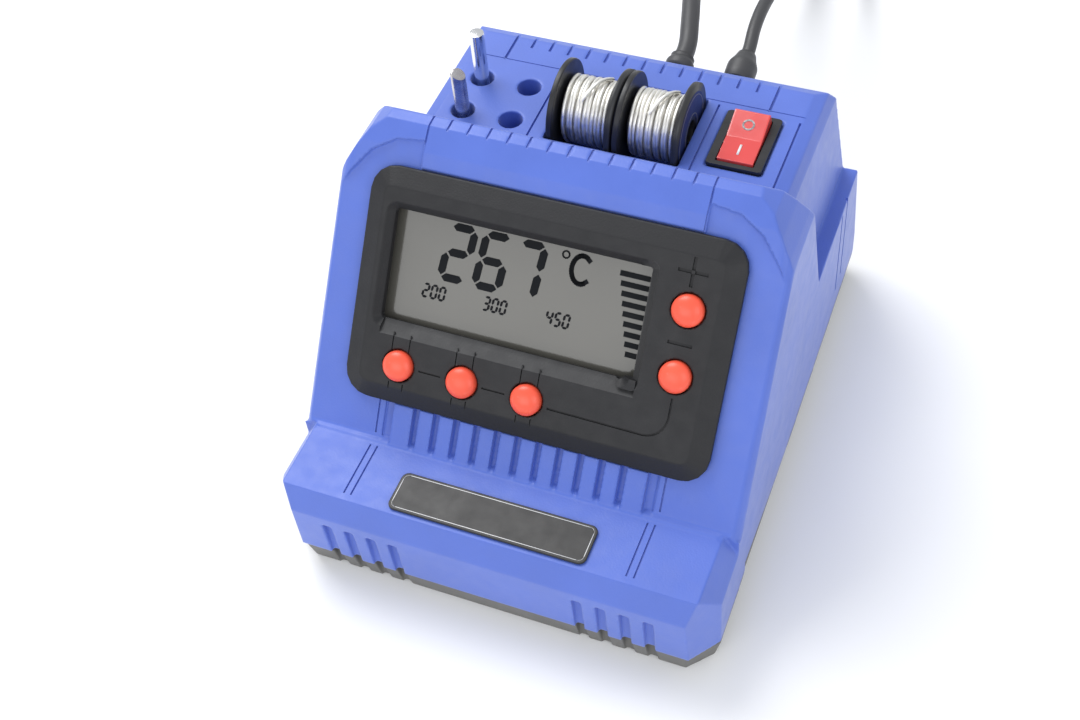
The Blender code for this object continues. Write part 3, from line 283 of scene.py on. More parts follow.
def metal(name, color, roughness, stretch=(1, 1, 1), scale=1500, depth=0.00001, stain=None):
    """Metal with fine turning or drawing marks, and heat stain where it is named."""
    made, shader = shader_of(name, color, roughness, 1.0)
    tree = made.node_tree
    marks = noise(tree, scale, 3, stretch)
    rough = ramp(tree, marks, 0.3, 0.7, roughness * 0.7, roughness * 1.4)
    tree.links.new(rough, shader.inputs["Roughness"])
    cloud = ramp(tree, noise(tree, 260, 3), 0.35, 0.7, 0, 1)
    base = blend_colors(tree, cloud, color, stain or [c * 0.90 for c in color])
    tree.links.new(base, shader.inputs["Base Color"])
    bump(tree, shader, marks, depth)
    return made


BLUE = moulded("housing_blue", (0.078, 0.145, 0.555), 0.42, grain=1900, depth=0.00004, sheen=0.22)
BLUE_HANDLE = moulded("handle_blue", (0.078, 0.145, 0.555), 0.36, grain=1900, depth=0.00003)
BASE_GREY = moulded("base_grey", (0.145, 0.142, 0.135), 0.55, grain=1700, depth=0.00005)
BEZEL = moulded(
    "bezel_charcoal", (0.014, 0.014, 0.016), 0.52, grain=2000, depth=0.00005, edge=0.10, gloss=0.38
)
BUTTON = moulded("button_red", (0.90, 0.105, 0.055), 0.34, grain=2600, depth=0.00001, edge=0.10, mottle=0.05)
ROCKER = moulded(
    "rocker_red", (0.70, 0.062, 0.058), 0.18, grain=1500, depth=0.000004, edge=0.10, mottle=0.06, coat=0.5
)
SWITCH_BLACK = moulded("switch_black", (0.018, 0.018, 0.020), 0.28, grain=1600, depth=0.000008, edge=0.10)
SPOOL_BLACK = moulded("spool_black", (0.014, 0.014, 0.016), 0.38, grain=2200, depth=0.00002, edge=0.12)
SPOOL_PAPER = moulded("spool_paper", (0.012, 0.020, 0.085), 0.45, grain=3200, depth=0.00001, edge=0.0)
CORD_PVC = moulded("cord_grey", (0.048, 0.048, 0.051), 0.46, grain=2400, depth=0.00003, edge=0.0)
RUBBER = moulded("grip_rubber", (0.022, 0.022, 0.024), 0.68, grain=2600, depth=0.00006, edge=0.12)
PLUG_PVC = moulded("plug_pvc", (0.050, 0.050, 0.053), 0.48, grain=2100, depth=0.00004)
TIE = moulded("tie_black", (0.012, 0.012, 0.013), 0.40, grain=1800, depth=0.00001, edge=0.15)
LABEL = moulded(
    "label_film", (0.030, 0.0295, 0.029), 0.40, grain=3600, depth=0.000008, edge=0.0, mottle=0.02, gloss=0.4
)
PRINT = {"grain": 3600, "depth": 0.000004, "edge": 0.0, "mottle": 0.03}
PRINT_WHITE = moulded("print_white", (0.82, 0.82, 0.82), 0.45, **PRINT)
PRINT_GREY = moulded("print_grey", (0.26, 0.26, 0.27), 0.45, **PRINT)
LCD_INK = moulded("lcd_ink", (0.004, 0.005, 0.007), 0.55, grain=3000, depth=0.000002, edge=0.0, gloss=0.15)
BOARD = moulded("board_green", (0.012, 0.14, 0.055), 0.38, grain=1500, depth=0.00002, mottle=0.2)
TAPE = moulded("winding_tape", (0.72, 0.50, 0.13), 0.42, grain=900, depth=0.00006, mottle=0.15)
SOLDER = metal("solder_bright", (0.93, 0.91, 0.86), 0.42, scale=900, depth=0.00001)
STEEL = metal("steel_turned", (0.60, 0.61, 0.63), 0.26)
TIP_IRON = metal("tip_plating", (0.62, 0.60, 0.60), 0.22, (1, 1, 8), stain=(0.40, 0.36, 0.38))
TIP_TINNED = metal("tip_tinned", (0.80, 0.80, 0.80), 0.14)
BARREL = metal("barrel_steel", (0.58, 0.56, 0.54), 0.24, (6, 1, 6), stain=(0.50, 0.42, 0.34))
BRASS = metal("pin_plating", (0.74, 0.70, 0.64), 0.22)
LAMINATION = metal("core_lamination", (0.30, 0.30, 0.32), 0.45, (1, 60, 1), 400, 0.00008)


def glass_panel():
    """The display: a grey polariser, slightly uneven in tone, under a smooth cover."""
    made, shader = shader_of("lcd_panel", (0.14, 0.135, 0.12), 0.16)
    tree = made.node_tree
    cloud = ramp(tree, noise(tree, 28, 2), 0.3, 0.7, 0, 1)
    base = blend_colors(tree, cloud, (0.086, 0.083, 0.072), (0.104, 0.100, 0.088))
    tree.links.new(base, shader.inputs["Base Color"])
    shader.inputs["Coat Weight"].default_value = 0.35
    shader.inputs["Coat Roughness"].default_value = 0.08
    bump(tree, shader, noise(tree, 5200, 1), 0.000004)
    return made


LCD = glass_panel()


# ---- mesh helpers ----------------------------------------------------------------------------------

# SIDE turns an outline drawn in (depth, height) to face along X, FACE one in (width, height) to face along -Y
SIDE = Matrix(((0, 0, 1, 0), (1, 0, 0, 0), (0, 1, 0, 0), (0, 0, 0, 1)))
FACE = Matrix(((1, 0, 0, 0), (0, 0, -1, 0), (0, 1, 0, 0), (0, 0, 0, 1)))
PANEL_ANGLE = math.radians(52.5)
PANEL_Y, PANEL_Z = -0.01325, 0.0682
PANEL = Matrix.Translation((0, PANEL_Y, PANEL_Z)) @ Matrix.Rotation(PANEL_ANGLE, 4, "X")
BEZEL_PROUD = 0.0032
DECK_Z = 0.0845
LEDGE_Z = 0.0340
GAP = 0.0003  # the clearance between two pieces


def new_piece(name, mesh, finish, body="station", smooth=True):
    piece = bpy.data.objects.new(name, mesh)
    PARTS.objects.link(piece)
    mesh.materials.clear()
    mesh.materials.append(finish)
    for face in mesh.polygons:
        face.use_smooth = smooth
        face.material_index = 0
    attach(piece, body)
    return piece


def mesh_from(work, name):
    bmesh.ops.recalc_face_normals(work, faces=work.faces)
    mesh = bpy.data.meshes.new(name)
    work.to_mesh(mesh)
    work.free()
    return mesh


def helper(mesh):
    made = bpy.data.objects.new(mesh.name, mesh)
    SCENE.collection.objects.link(made)
    return made


def add_loft(work, sections, matrix=Matrix.Identity(4)):
    loops = [[work.verts.new(matrix @ Vector(point)) for point in section] for section in sections]
    for low, high in zip(loops, loops[1:]):
        for k in range(len(low)):
            after = (k + 1) % len(low)
            work.faces.new((low[k], low[after], high[after], high[k]))
    work.faces.new(reversed(loops[0]))
    work.faces.new(loops[-1])


def add_prism(work, outline, low, high, matrix=Matrix.Identity(4)):
    add_loft(work, [[(x, y, z) for x, y in outline] for z in (low, high)], matrix)


def add_box(work, low, high, matrix=Matrix.Identity(4)):
    outline = [(high[0], high[1]), (low[0], high[1]), (low[0], low[1]), (high[0], low[1])]
    add_prism(work, outline, low[2], high[2], matrix)


def rounded(size, centre, corner):
    """The outline of a rectangle with round corners."""
    steps = 8
    half = size[0] / 2 - corner, size[1] / 2 - corner
    points = []
    for quarter, (a, b) in enumerate(((1, 1), (-1, 1), (-1, -1), (1, -1))):
        for step in range(steps + 1):
            angle = math.pi / 2 * (quarter + step / steps)
            x = centre[0] + half[0] * a + corner * math.cos(angle)
            points.append((x, centre[1] + half[1] * b + corner * math.sin(angle)))
    return points


def arc(radius, steps, last, centre=(0, 0)):
    """Points of a circle cut in that many steps, up to the last one named."""
    angles = [2 * math.pi * k / steps for k in range(last + 1)]
    return [(centre[0] + radius * math.cos(a), centre[1] + radius * math.sin(a)) for a in angles]


def stroke(points, width):
    """Outlines of the straight runs of a line of that width."""
    runs = []
    for a, b in zip(points, points[1:]):
        a, b = Vector(a), Vector(b)
        along = (b - a).normalized() * width / 2
        across = Vector((-along.y, along.x))
        corners = (a - along - across, b + along - across, b + along + across, a - along + across)
        runs.append([tuple(c) for c in corners])
    return runs


def softened_profile(profile, radius):
    """The profile with every corner between its two ends rounded to at most the radius."""
    steps = 4
    points = [Vector(p) for p in profile]
    out = [points[0]]
    for before, here, after in zip(points, points[1:], points[2:]):
        first, last = before - here, after - here
        reach = min(radius, first.length * 0.45, last.length * 0.45)
        start = here + first.normalized() * reach
        end = here + last.normalized() * reach
        for k in range(steps + 1):
            t = k / steps
            out.append((1 - t) ** 2 * start + 2 * t * (1 - t) * here + t**2 * end)
    out.append(points[-1])
    return out


def lathe(name, profile, matrix, finish, body="station", *, soft, steps=64, closed=False):
    """A turned piece. Its profile (radius, height) runs along its outer side; closed joins the two ends."""
    points = [Vector(p) for p in profile]
    if closed:
        points = points + [points[0]]
    points = softened_profile(points, soft)
    work = bmesh.new()
    loops = []
    for radius, height in points[: -1 if closed else None]:
        if radius < 1e-6:
            loops.append([work.verts.new(matrix @ Vector((0, 0, height)))])
            continue
        turn = 2 * math.pi / steps
        loop = [(radius * math.cos(turn * k), radius * math.sin(turn * k), height) for k in range(steps)]
        loops.append([work.verts.new(matrix @ Vector(p)) for p in loop])
    pairs = list(zip(loops, loops[1:]))
    if closed:
        pairs.append((loops[-1], loops[0]))
    for low, high in pairs:
        for k in range(steps):
            after = (k + 1) % steps
            if len(low) == 1:
                work.faces.new((low[0], high[k], high[after]))
            elif len(high) == 1:
                work.faces.new((low[k], high[0], low[after]))
            else:
                work.faces.new((low[k], low[after], high[after], high[k]))
    return new_piece(name, mesh_from(work, name), finish, body)


def applied(base):
    """Takes the object's modifiers into its mesh."""
    graph = bpy.context.evaluated_depsgraph_get()
    made = bpy.data.meshes.new_from_object(base.evaluated_get(graph))
    base.modifiers.clear()
    base.data = made


def merged_copy(node):
    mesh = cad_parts[node].data.copy()
    work = bmesh.new()
    work.from_mesh(mesh)
    bmesh.ops.remove_doubles(work, verts=work.verts, dist=0.000002)
    work.to_mesh(mesh)
    work.free()
    return helper(mesh)


def boolean(base, work, operation, solver):
    tool = helper(mesh_from(work, "tool"))
    modifier = base.modifiers.new(operation, "BOOLEAN")
    modifier.operation = operation
    modifier.solver = solver
    modifier.object = tool
    if solver == "EXACT":
        modifier.use_self = True
    applied(base)
    bpy.data.objects.remove(tool)


def taken_over(base, name, node, finish, body):
    made = base.data
    bpy.data.objects.remove(base)
    piece = new_piece(name, made, finish, body)
    made.set_sharp_from_angle(angle=math.radians(42))
    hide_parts(node)
    return piece


def sculpted(name, node, finish, voxel, passes, body="station", cuts=None, adds=None):
    """A finer copy of a CAD node: adds are joined to it, its edges rounded, then its fine cuts made."""
    base = merged_copy(node)
    if adds:
        boolean(base, adds, "UNION", "EXACT")
    remesh = base.modifiers.new("remesh", "REMESH")
    remesh.mode = "VOXEL"
    remesh.voxel_size = voxel
    smooth = base.modifiers.new("smooth", "SMOOTH")
    smooth.factor = 0.5
    smooth.iterations = passes
    applied(base)
    if cuts:
        boolean(base, cuts, "DIFFERENCE", "MANIFOLD")
    return taken_over(base, name, node, finish, body)


def bevelled(name, node, finish, width, body):
    """A finer copy of a CAD node with each sharp edge broken."""
    base = merged_copy(node)
    bevel = base.modifiers.new("bevel", "BEVEL")
    bevel.width = width
    bevel.segments = 3
    bevel.limit_method = "ANGLE"
    bevel.angle_limit = math.radians(32)
    applied(base)
    return taken_over(base, name, node, finish, body)


# ---- housing and base -------------------------------------------------------------------------------


def offset_band(points, inner, outer):
    """The closed outline between two distances to the left of a line."""
    points = [Vector(p) for p in points]
    sides = []
    for k in range(len(points)):
        along = (points[min(k + 1, len(points) - 1)] - points[max(k - 1, 0)]).normalized()
        sides.append(Vector((-along.y, along.x)))
    low = [tuple(p + n * inner) for p, n in zip(points, sides)]
    high = [tuple(p + n * outer) for p, n in zip(points, sides)]
    return low + high[::-1]


def panel_at(v):
    """Depth and height of a point on the panel's middle line, v up the slope."""
    return PANEL_Y + v * math.cos(PANEL_ANGLE), PANEL_Z + v * math.sin(PANEL_ANGLE)


def housing_cuts():
    """Fine grooves of the housing: seams, slits in the deck's edges, and a recess in each flank's foot."""
    work = bmesh.new()
    seam_floor = DECK_Z - 0.0007
    clear = 0.002  # how far a cutter stands out of the surface
    # The seam over the hood, at both of its ends
    over = [(0.0195, 0.0990), (0.0170, 0.1012), (0.0136, 0.1010), panel_at(0.0355), panel_at(0.0300)]
    hood = offset_band(over, 0.0005, -0.0040)
    if area(hood) < 0:
        hood = hood[::-1]
    for x in (-0.0376, 0.0376):
        add_prism(work, hood, x - 0.00028, x + 0.00028, SIDE)
    # Two lines at each side, on the ledge and on the panel's foot
    rib_floor = -0.0012
    for side in (-1, 1):
        for x in (0.0380, 0.0400):
            low, high = side * x - 0.00025, side * x + 0.00025
            add_box(work, (low, -0.0572, LEDGE_Z - 0.0005), (high, -0.0372, LEDGE_Z + clear))
            add_box(work, (low, -0.0440, rib_floor - 0.0005), (high, -0.0300, rib_floor + clear), PANEL)
    # Seams of the deck
    for x, y_low, y_high in ((-0.0205, 0.0330, 0.0600), (0.0246, 0.0330, 0.0600), (0.0470, 0.0330, 0.0590)):
        add_box(work, (x - 0.00030, y_low, seam_floor), (x + 0.00030, y_high, DECK_Z + clear))
    add_box(work, (-0.0480, 0.0612, DECK_Z - 0.00022), (0.0480, 0.0615, DECK_Z + clear))
    # Slits in the hood's rear lip, then in the deck's rear edge
    slits, span = 13, 0.0650
    for k in range(slits):
        x = -0.0325 + span * k / (slits - 1)
        lip = [(0.0126, 0.1006), (0.0172, 0.1006), (0.0192, 0.0982), (0.0215, 0.0900), (0.0300, 0.0900)]
        add_prism(work, lip + [(0.0300, 0.1050), (0.0126, 0.1050)], x - 0.0003, x + 0.0003, SIDE)
    rear = [(0.0675, seam_floor), (0.0736, seam_floor), (0.0750, DECK_Z - 0.0022), (0.0790, 0.0650)]
    rear += [(0.0900, 0.0650), (0.0900, 0.0900), (0.0675, 0.0900)]
    slits, span = 15, 0.0760
    for k in range(slits):
        x = -0.0380 + span * k / (slits - 1)
        outline = rear
        if k in (0, slits - 1):
            outline = [(0.0610, seam_floor)] + rear[1:-1] + [(0.0610, 0.0900)]
        add_prism(work, outline, x - 0.0004, x + 0.0004, SIDE)
    # The flanks: the arched recess at the foot, and two upright grooves behind it
    arch = [(-0.0312, -0.001), (-0.0312, 0.0150), (-0.0296, 0.0172), (-0.0210, 0.0170)]
    arch += [(-0.0090, 0.0139), (0.0060, 0.0100), (0.0100, 0.0080), (0.0130, -0.001)]
    outside = 0.0680
    for side in (-1, 1):
        low, high = sorted((side * 0.0604, side * outside))
        add_prism(work, arch[::-1], low, high, SIDE)
        for y, z_low, z_high in ((0.0650, 0.0170, 0.0480), (0.0708, 0.0180, 0.0500)):
            low, high = sorted((side * 0.0585, side * outside))
            add_box(work, (low, y - 0.0005, z_low), (high, y + 0.0005, z_high))
    return work


def area(outline):
    """Its sign says which way round the outline runs."""
    return sum(a[0] * b[1] - b[0] * a[1] for a, b in zip(outline, outline[1:] + outline[:1])) / 2


def base_cuts():
    """The foot of the arches, in the base tray's sides."""
    work = bmesh.new()
    arch = [(-0.0312, -0.001), (0.0130, -0.001), (0.0130, 0.0090), (-0.0312, 0.0090)]
    for side in (-1, 1):
        low, high = sorted((side * 0.0600, side * 0.0680))
        add_prism(work, arch, low, high, SIDE)
    return work


def housing_backing():
    """Wall behind the ribs and the foot grooves, on the inside."""
    work = bmesh.new()
    add_box(work, (-0.0395, -0.0440, -0.0050), (0.0395, -0.0295, -0.0021), PANEL)
    for side in (-1, 1):
        low, high = sorted((side * 0.0228, side * 0.0478))
        add_box(work, (low, -0.0590, 0.0100), (high, -0.0560, 0.0245))
    return work


FINE = 0.00034
sculpted("housing_shell", "upper_housing", BLUE, FINE, 3, cuts=housing_cuts(), adds=housing_backing())
sculpted("base_tray", "base_plate", BASE_GREY, FINE, 2, cuts=base_cuts())


# ---- bezel and display ------------------------------------------------------------------------------


def bezel_cuts():
    """Widens the window to the right, bevels its lower lip, and engraves the lines and signs."""
    work = bmesh.new()
    throat = rounded((0.0052, 0.0292), (0.0246, 0.0058), 0.0008)
    mouth = rounded((0.0072, 0.0332), (0.0256, 0.0058), 0.0018)
    levels = (
        (throat, -0.02), (throat, BEZEL_PROUD - 0.0020), (mouth, BEZEL_PROUD), (mouth, BEZEL_PROUD + 0.01),
    )
    add_loft(work, [[(x, y, z) for x, y in outline] for outline, z in levels], PANEL)
    # The lower lip: cut away from the window's floor to the frame's face
    lip = [(-0.0080, -0.0002), (-0.0080, 0.0060), (-0.0124, 0.0060), (-0.0124, BEZEL_PROUD)]
    add_prism(work, lip, -0.0412, 0.0286, PANEL @ SIDE)
    # Engraved lines: links between the preset buttons and a trace round to the minus button
    low, high = BEZEL_PROUD - 0.0005, BEZEL_PROUD + 0.002
    links = ((-0.0285, -0.0228), (-0.0107, -0.0048))
    runs = [([(start, -0.0200), (end, -0.0200)], 0.0005) for start, end in links]
    turn = [math.pi / 2 * k / 8 for k in range(9)]
    bend = [(0.0325 + 0.0060 * math.sin(t), -0.0150 - 0.0060 * math.cos(t)) for t in turn]
    trace = [(0.0072, -0.0208), (0.0200, -0.0209)] + bend + [(0.0385, -0.0100)]
    add_prism(work, offset_band(trace, -0.0003, 0.0003), low, high, PANEL)
    for u in (-0.0346, -0.0166, 0.0014):
        for side in (-1, 1):
            runs.append(([(u + side * 0.0024, -0.0115), (u + side * 0.0024, -0.0160)], 0.0003))
            runs.append(([(u + side * 0.0020, -0.0248), (u + side * 0.0020, -0.0302)], 0.0003))
    # The plus sign, then the minus sign
    sign = 0.0009
    runs.append(([(0.0342, 0.0219), (0.0410, 0.0219)], sign))
    runs.append(([(0.0376, 0.0186), (0.0376, 0.0252)], sign))
    runs.append(([(0.0350, 0.0038), (0.0404, 0.0038)], sign))
    for line, width in runs:
        for outline in stroke(line, width):
            add_prism(work, outline, low, high, PANEL)
    return work


BEZEL_FINE = 0.00026
sculpted("bezel_frame", "display_bezel", BEZEL, BEZEL_FINE, 2, cuts=bezel_cuts())

LCD_TOP = -0.0026
INK_THICK = 0.00006
INK_PLANE = PANEL @ Matrix.Translation((0, 0, LCD_TOP + 0.00004))
SEGMENTS = {
    "a": ((0.04, 1.0), (0.96, 1.0)),
    "b": ((1.0, 0.97), (1.0, 0.53)),
    "c": ((1.0, 0.47), (1.0, 0.03)),
    "d": ((0.04, 0.0), (0.96, 0.0)),
    "e": ((0.0, 0.47), (0.0, 0.03)),
    "f": ((0.0, 0.97), (0.0, 0.53)),
    "g": ((0.06, 0.5), (0.94, 0.5)),
}
# The order of a figure's bars is the order in which they are drawn
DIGITS = {"0": "abcdef", "2": "abged", "3": "abgcd", "4": "fgbc", "5": "afgcd", "6": "afgedc", "7": "abc"}


def digit(work, figure, corner, size, width):
    """A seven-segment figure of mitred bars, leaning a little."""
    lean = 0.10
    for key in DIGITS[figure]:
        (ax, ay), (bx, by) = SEGMENTS[key]
        a = Vector((ax * size[0], ay * size[1]))
        b = Vector((bx * size[0], by * size[1]))
        along = (b - a).normalized()
        across = Vector((-along.y, along.x)) * width / 2
        tip = along * width / 2
        shape = [a, a + tip - across, b - tip - across, b, b - tip + across, a + tip + across]
        shape = [(corner[0] + p.x + p.y * lean, corner[1] + p.y) for p in shape]
        add_prism(work, shape, 0, INK_THICK, INK_PLANE)


def letter_c(work, centre, size, width):
    angles = [math.radians(50 + 260 * k / 14) for k in range(15)]
    points = [(centre[0] + size[0] * math.cos(a), centre[1] + size[1] * math.sin(a)) for a in angles]
    for outline in stroke(points, width):
        add_prism(work, outline, 0, INK_THICK, INK_PLANE)


def make_display():
    work = bmesh.new()
    size, centre = (0.0722, 0.0328), (-0.0074, 0.0058)
    plate = rounded(size, centre, 0.0012)
    inner = rounded((size[0] - 0.0004, size[1] - 0.0004), centre, 0.0010)
    levels = ((plate, -0.0038), (plate, LCD_TOP - 0.0002), (inner, LCD_TOP))
    add_loft(work, [[(x, y, z) for x, y in outline] for outline, z in levels], PANEL)
    panel = new_piece("lcd_screen", mesh_from(work, "lcd_screen"), LCD, smooth=False)
    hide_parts("lcd_module")
    work = bmesh.new()
    for k, figure in enumerate("267"):
        digit(work, figure, (-0.0290 + 0.0096 * k, 0.0047), (0.0064, 0.0136), 0.0021)
    letter_c(work, (0.0082, 0.0148), (0.0026, 0.0036), 0.0012)
    degree = arc(0.0009, 12, 12, (0.0036, 0.0178))
    for outline in stroke(degree, 0.0004):
        add_prism(work, outline, 0, INK_THICK, INK_PLANE)
    marked = (((-0.0332, -0.0016), "200"), ((-0.0161, -0.0012), "300"), ((0.0011, -0.0008), "450"))
    for corner, text in marked:
        for k, figure in enumerate(text):
            digit(work, figure, (corner[0] + 0.0023 * k, corner[1]), (0.0014, 0.0034), 0.0006)
    bar_end = 0.0262
    for k in range(9):
        v = 0.0158 - 0.0025 * k
        width = 0.0080 - 0.00062 * k
        add_box(work, (bar_end - width, v, 0), (bar_end, v + 0.0014, INK_THICK), INK_PLANE)
    new_piece("lcd_segments", mesh_from(work, "lcd_segments"), LCD_INK, smooth=False)


make_display()

# Node: its body, and its place across and up the panel
BUTTONS = {
    "button_preset_1": ("preset_button_1", -0.0346, -0.0200),
    "button_preset_2": ("preset_button_2", -0.0166, -0.0200),
    "button_preset_3": ("preset_button_3", 0.0014, -0.0200),
    "button_plus": ("plus_button", 0.0381, 0.0124),
    "button_minus": ("minus_button", 0.0381, -0.0045),
}


def make_buttons():
    radius, top, dome = 0.0041, 0.0036, 0.0023
    angles = [math.pi / 2 * k / 12 for k in range(13)]
    crown = [(radius * math.sin(a), top + dome * math.cos(a)) for a in angles]
    profile = crown + [
        (radius, -0.0010), (radius + 0.0008, -0.0010), (radius + 0.0008, -0.0018),
        (radius * 0.5, -0.0018), (radius * 0.5, -0.0029), (0, -0.0029),
    ]
    for node, (body, u, v) in BUTTONS.items():
        place = PANEL @ Matrix.Translation((u, v, 0))
        cap = lathe(node + "_cap", profile, place, BUTTON, body, soft=0.00015)
        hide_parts(node)


make_buttons()


# ---- deck pieces --------------------------------------------------------------------------------------


def make_switch():
    sculpted("switch_frame", "switch_housing", SWITCH_BLACK, 0.0002, 1)
    sculpted("rocker_cap", "switch_rocker", ROCKER, 0.00016, 2, "power_rocker")
    x, y = 0.0352, 0.0475
    pivot = DECK_Z - 0.0008 + GAP + 0.0014 - 0.0010
    turn = Matrix.Translation((x, y, pivot)) @ Matrix.Rotation(math.radians(10), 4, "X")
    work = bmesh.new()
    thick = 0.00012
    for outline in stroke([(0, -0.0015), (0, 0.0015)], 0.0006):
        add_prism(work, outline, 0, thick, rocker_plane(turn, -1))
    for outline in stroke(arc(0.0014, 24, 24), 0.00045):
        add_prism(work, outline, 0, thick, rocker_plane(turn, 1))
    marks = new_piece("rocker_marks", mesh_from(work, "rocker_marks"), PRINT_WHITE, "power_rocker")


def rocker_plane(turn, side):
    """Axes on one half of the rocker's top, which rises to its end: X across, Y along, Z out of it."""
    length, end_height, middle_height = 0.0083, 0.0030, 0.0020
    slope = math.atan2(end_height - middle_height, length)
    place = Matrix.Translation((0, side * length / 2, (end_height + middle_height) / 2 + 0.00002))
    return turn @ place @ Matrix.Rotation(side * slope, 4, "X")


make_switch()


def make_spools():
    well_x, well_y, gap = (-0.0163, 0.0214), (0.0338, 0.0615), 0.0008
    middle = (well_y[0] + well_y[1]) / 2
    width = (well_x[1] - well_x[0] - 3 * gap) / 2
    first = well_x[0] + gap
    for side, low in (("left", first), ("right", first + width + gap)):
        body = side + "_spool"
        half = width / 2
        place = Matrix.Translation((low + half, middle, DECK_Z)) @ Matrix.Rotation(math.pi / 2, 4, "Y")
        outer, flange, core, bore = 0.0130, 0.0015, 0.0055, 0.0030
        profile = [
            (outer, half), (outer, half - flange), (core, half - flange), (core, flange - half),
            (outer, flange - half), (outer, -half), (bore, -half), (bore, half),
        ]
        spool = lathe("spool_" + side, profile, place, SPOOL_BLACK, body, soft=0.0004, steps=96, closed=True)
        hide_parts("solder_spool_" + side)
        for name, height, sign in (("inner", -half, -1), ("outer", half, 1)):
            disc = [(0.0042, height + sign * 0.00001), (0.0042, height + sign * 0.00010),
                    (0.0108, height + sign * 0.00010), (0.0108, height + sign * 0.00001)]
            title = f"spool_paper_{side}_{name}"
            paper = lathe(title, disc, place, SPOOL_PAPER, body, soft=0.00002, closed=True)
            work = bmesh.new()
            for r in (0.0050, 0.0100):
                for outline in stroke(arc(r, 60, 48), 0.00018):
                    low_z, high_z = sorted((height + sign * 0.00011, height + sign * 0.00016))
                    add_prism(work, outline, low_z, high_z, place)
            rings = new_piece(f"spool_print_{side}_{name}", mesh_from(work, "spool_print"), PRINT_GREY, body)
        solder = helix("solder_turns_" + side, half - flange - 0.0006, place, body)
        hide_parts("solder_wire_" + side)


def add_run(curve, points, place):
    spline = curve.splines.new("POLY")
    spline.points.add(len(points) - 1)
    for spot, point in zip(spline.points, points):
        spot.co = (*(place @ Vector(point)), 1)


def helix(name, reach, place, body):
    """Solder wire wound on the spool's core: two even layers under an uneven one."""
    wire, steps = 0.00055, 40
    curve = bpy.data.curves.new(name, "CURVE")
    curve.dimensions = "3D"
    curve.bevel_depth = wire
    curve.bevel_resolution = 4
    curve.use_fill_caps = True
    turns = int(2 * (reach - wire) / (wire * 2.04))
    phase = 0.7 if "left" in name else 2.1
    for layer, radius in ((0, 0.0066), (1, 0.0076), (2, 0.0087)):
        points = []
        for k in range(turns * steps + 1):
            angle = 2 * math.pi * k / steps
            along = -reach + wire + (2 * (reach - wire)) * k / (turns * steps)
            swell = 0.00010 * math.sin(angle * 0.37 + phase) + 0.00006 * math.sin(angle * 1.31 + phase * 2)
            tilt = 0.00018 * math.sin(angle * 0.53 + phase + layer)
            r = radius + (swell if layer == 2 else 0)
            points.append((r * math.cos(angle), r * math.sin(angle), along + (tilt if layer == 2 else 0)))
        add_run(curve, points, place)
    # The free end crosses the turns and lifts off a little
    loose = []
    for k in range(30):
        t = k / 29
        angle = math.radians(58 + 62 * t)
        r = 0.0092 + 0.0007 * math.sin(math.pi * t) + 0.0003
        loose.append((-r * math.sin(angle), -r * math.cos(angle), -0.0010 + 0.0052 * t))
    add_run(curve, loose, place)
    temp = bpy.data.objects.new(name + "_curve", curve)
    SCENE.collection.objects.link(temp)
    bpy.context.view_layer.update()
    mesh = bpy.data.meshes.new_from_object(temp.evaluated_get(bpy.context.evaluated_depsgraph_get()))
    bpy.data.objects.remove(temp)
    return new_piece(name, mesh, SOLDER, body)


make_spools()


def make_tips():
    foot = DECK_Z - 0.0150 + GAP
    top = DECK_Z + 0.0156
    profile = [
        (0, top), (0.0020, top), (0.0020, DECK_Z - 0.0040), (0.0030, DECK_Z - 0.0050),
        (0.0030, foot), (0, foot),
    ]
    place = Matrix.Translation((-0.041, 0.0519, 0))
    tip = lathe("round_tip_piece", profile, place, TIP_TINNED, "round_tip", soft=0.00025)
    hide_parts("spare_tip_round")
    bevelled("chisel_tip_piece", "spare_tip_chisel", TIP_IRON, 0.00018, "chisel_tip")


make_tips()


def make_label():
    work = bmesh.new()
    low = LEDGE_Z + GAP
    size, centre = (0.0545, 0.0118), (0.0, -0.0522)
    levels = ((0, low), (0, low + 0.0004), (0.0002, low + 0.0005))
    sections = []
    for shrink, z in levels:
        outline = rounded((size[0] - 2 * shrink, size[1] - 2 * shrink), centre, 0.0020)
        sections.append([(x, y, z) for x, y in outline])
    add_loft(work, sections)
    plate = new_piece("label_plate", mesh_from(work, "label_plate"), LABEL, smooth=False)
    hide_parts("rating_plate")
    work = bmesh.new()
    top = low + 0.00052
    outline = rounded((size[0] - 0.0016, size[1] - 0.0016), centre, 0.0014)
    for run in stroke(outline + outline[:1], 0.00018):
        add_prism(work, run, top, top + 0.00004)
    marks = new_piece("label_print", mesh_from(work, "label_print"), PRINT_WHITE)


make_label()


# ---- exits, plug and iron ---------------------------------------------------------------------------


EXIT_Z = 0.0775
REAR_FOOT_Y, REAR_LEAN = 0.0940, 0.0185  # the rear wall leans forward by that much up to the deck


def exit_frame(x):
    """Axes of a cord's exit in the rear wall: Z along the cord, out of the wall."""
    lean = math.atan2(REAR_LEAN, DECK_Z)
    z = EXIT_Z
    y = REAR_FOOT_Y - REAR_LEAN * z / DECK_Z
    return Matrix.Translation((x, y, z)) @ Matrix.Rotation(-math.pi / 2 + lean, 4, "X")


def grommet(name, node, x, wall, cord, collar, length):
    """A strain relief: wall is the radius of its hole, and collar the radius of its widest part."""
    bore, inner_end = cord + GAP * 0.3, -0.0034
    profile = [
        (cord + 0.0008, length), (collar - 0.0010, length * 0.8), (collar, length * 0.6),
        (collar, length * 0.2), (collar - 0.0005, GAP), (wall - GAP, GAP), (wall - GAP, inner_end),
        (bore, inner_end), (bore, length),
    ]
    piece = lathe(name, profile, exit_frame(x), CORD_PVC, soft=0.0008, closed=True)
    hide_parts(node)


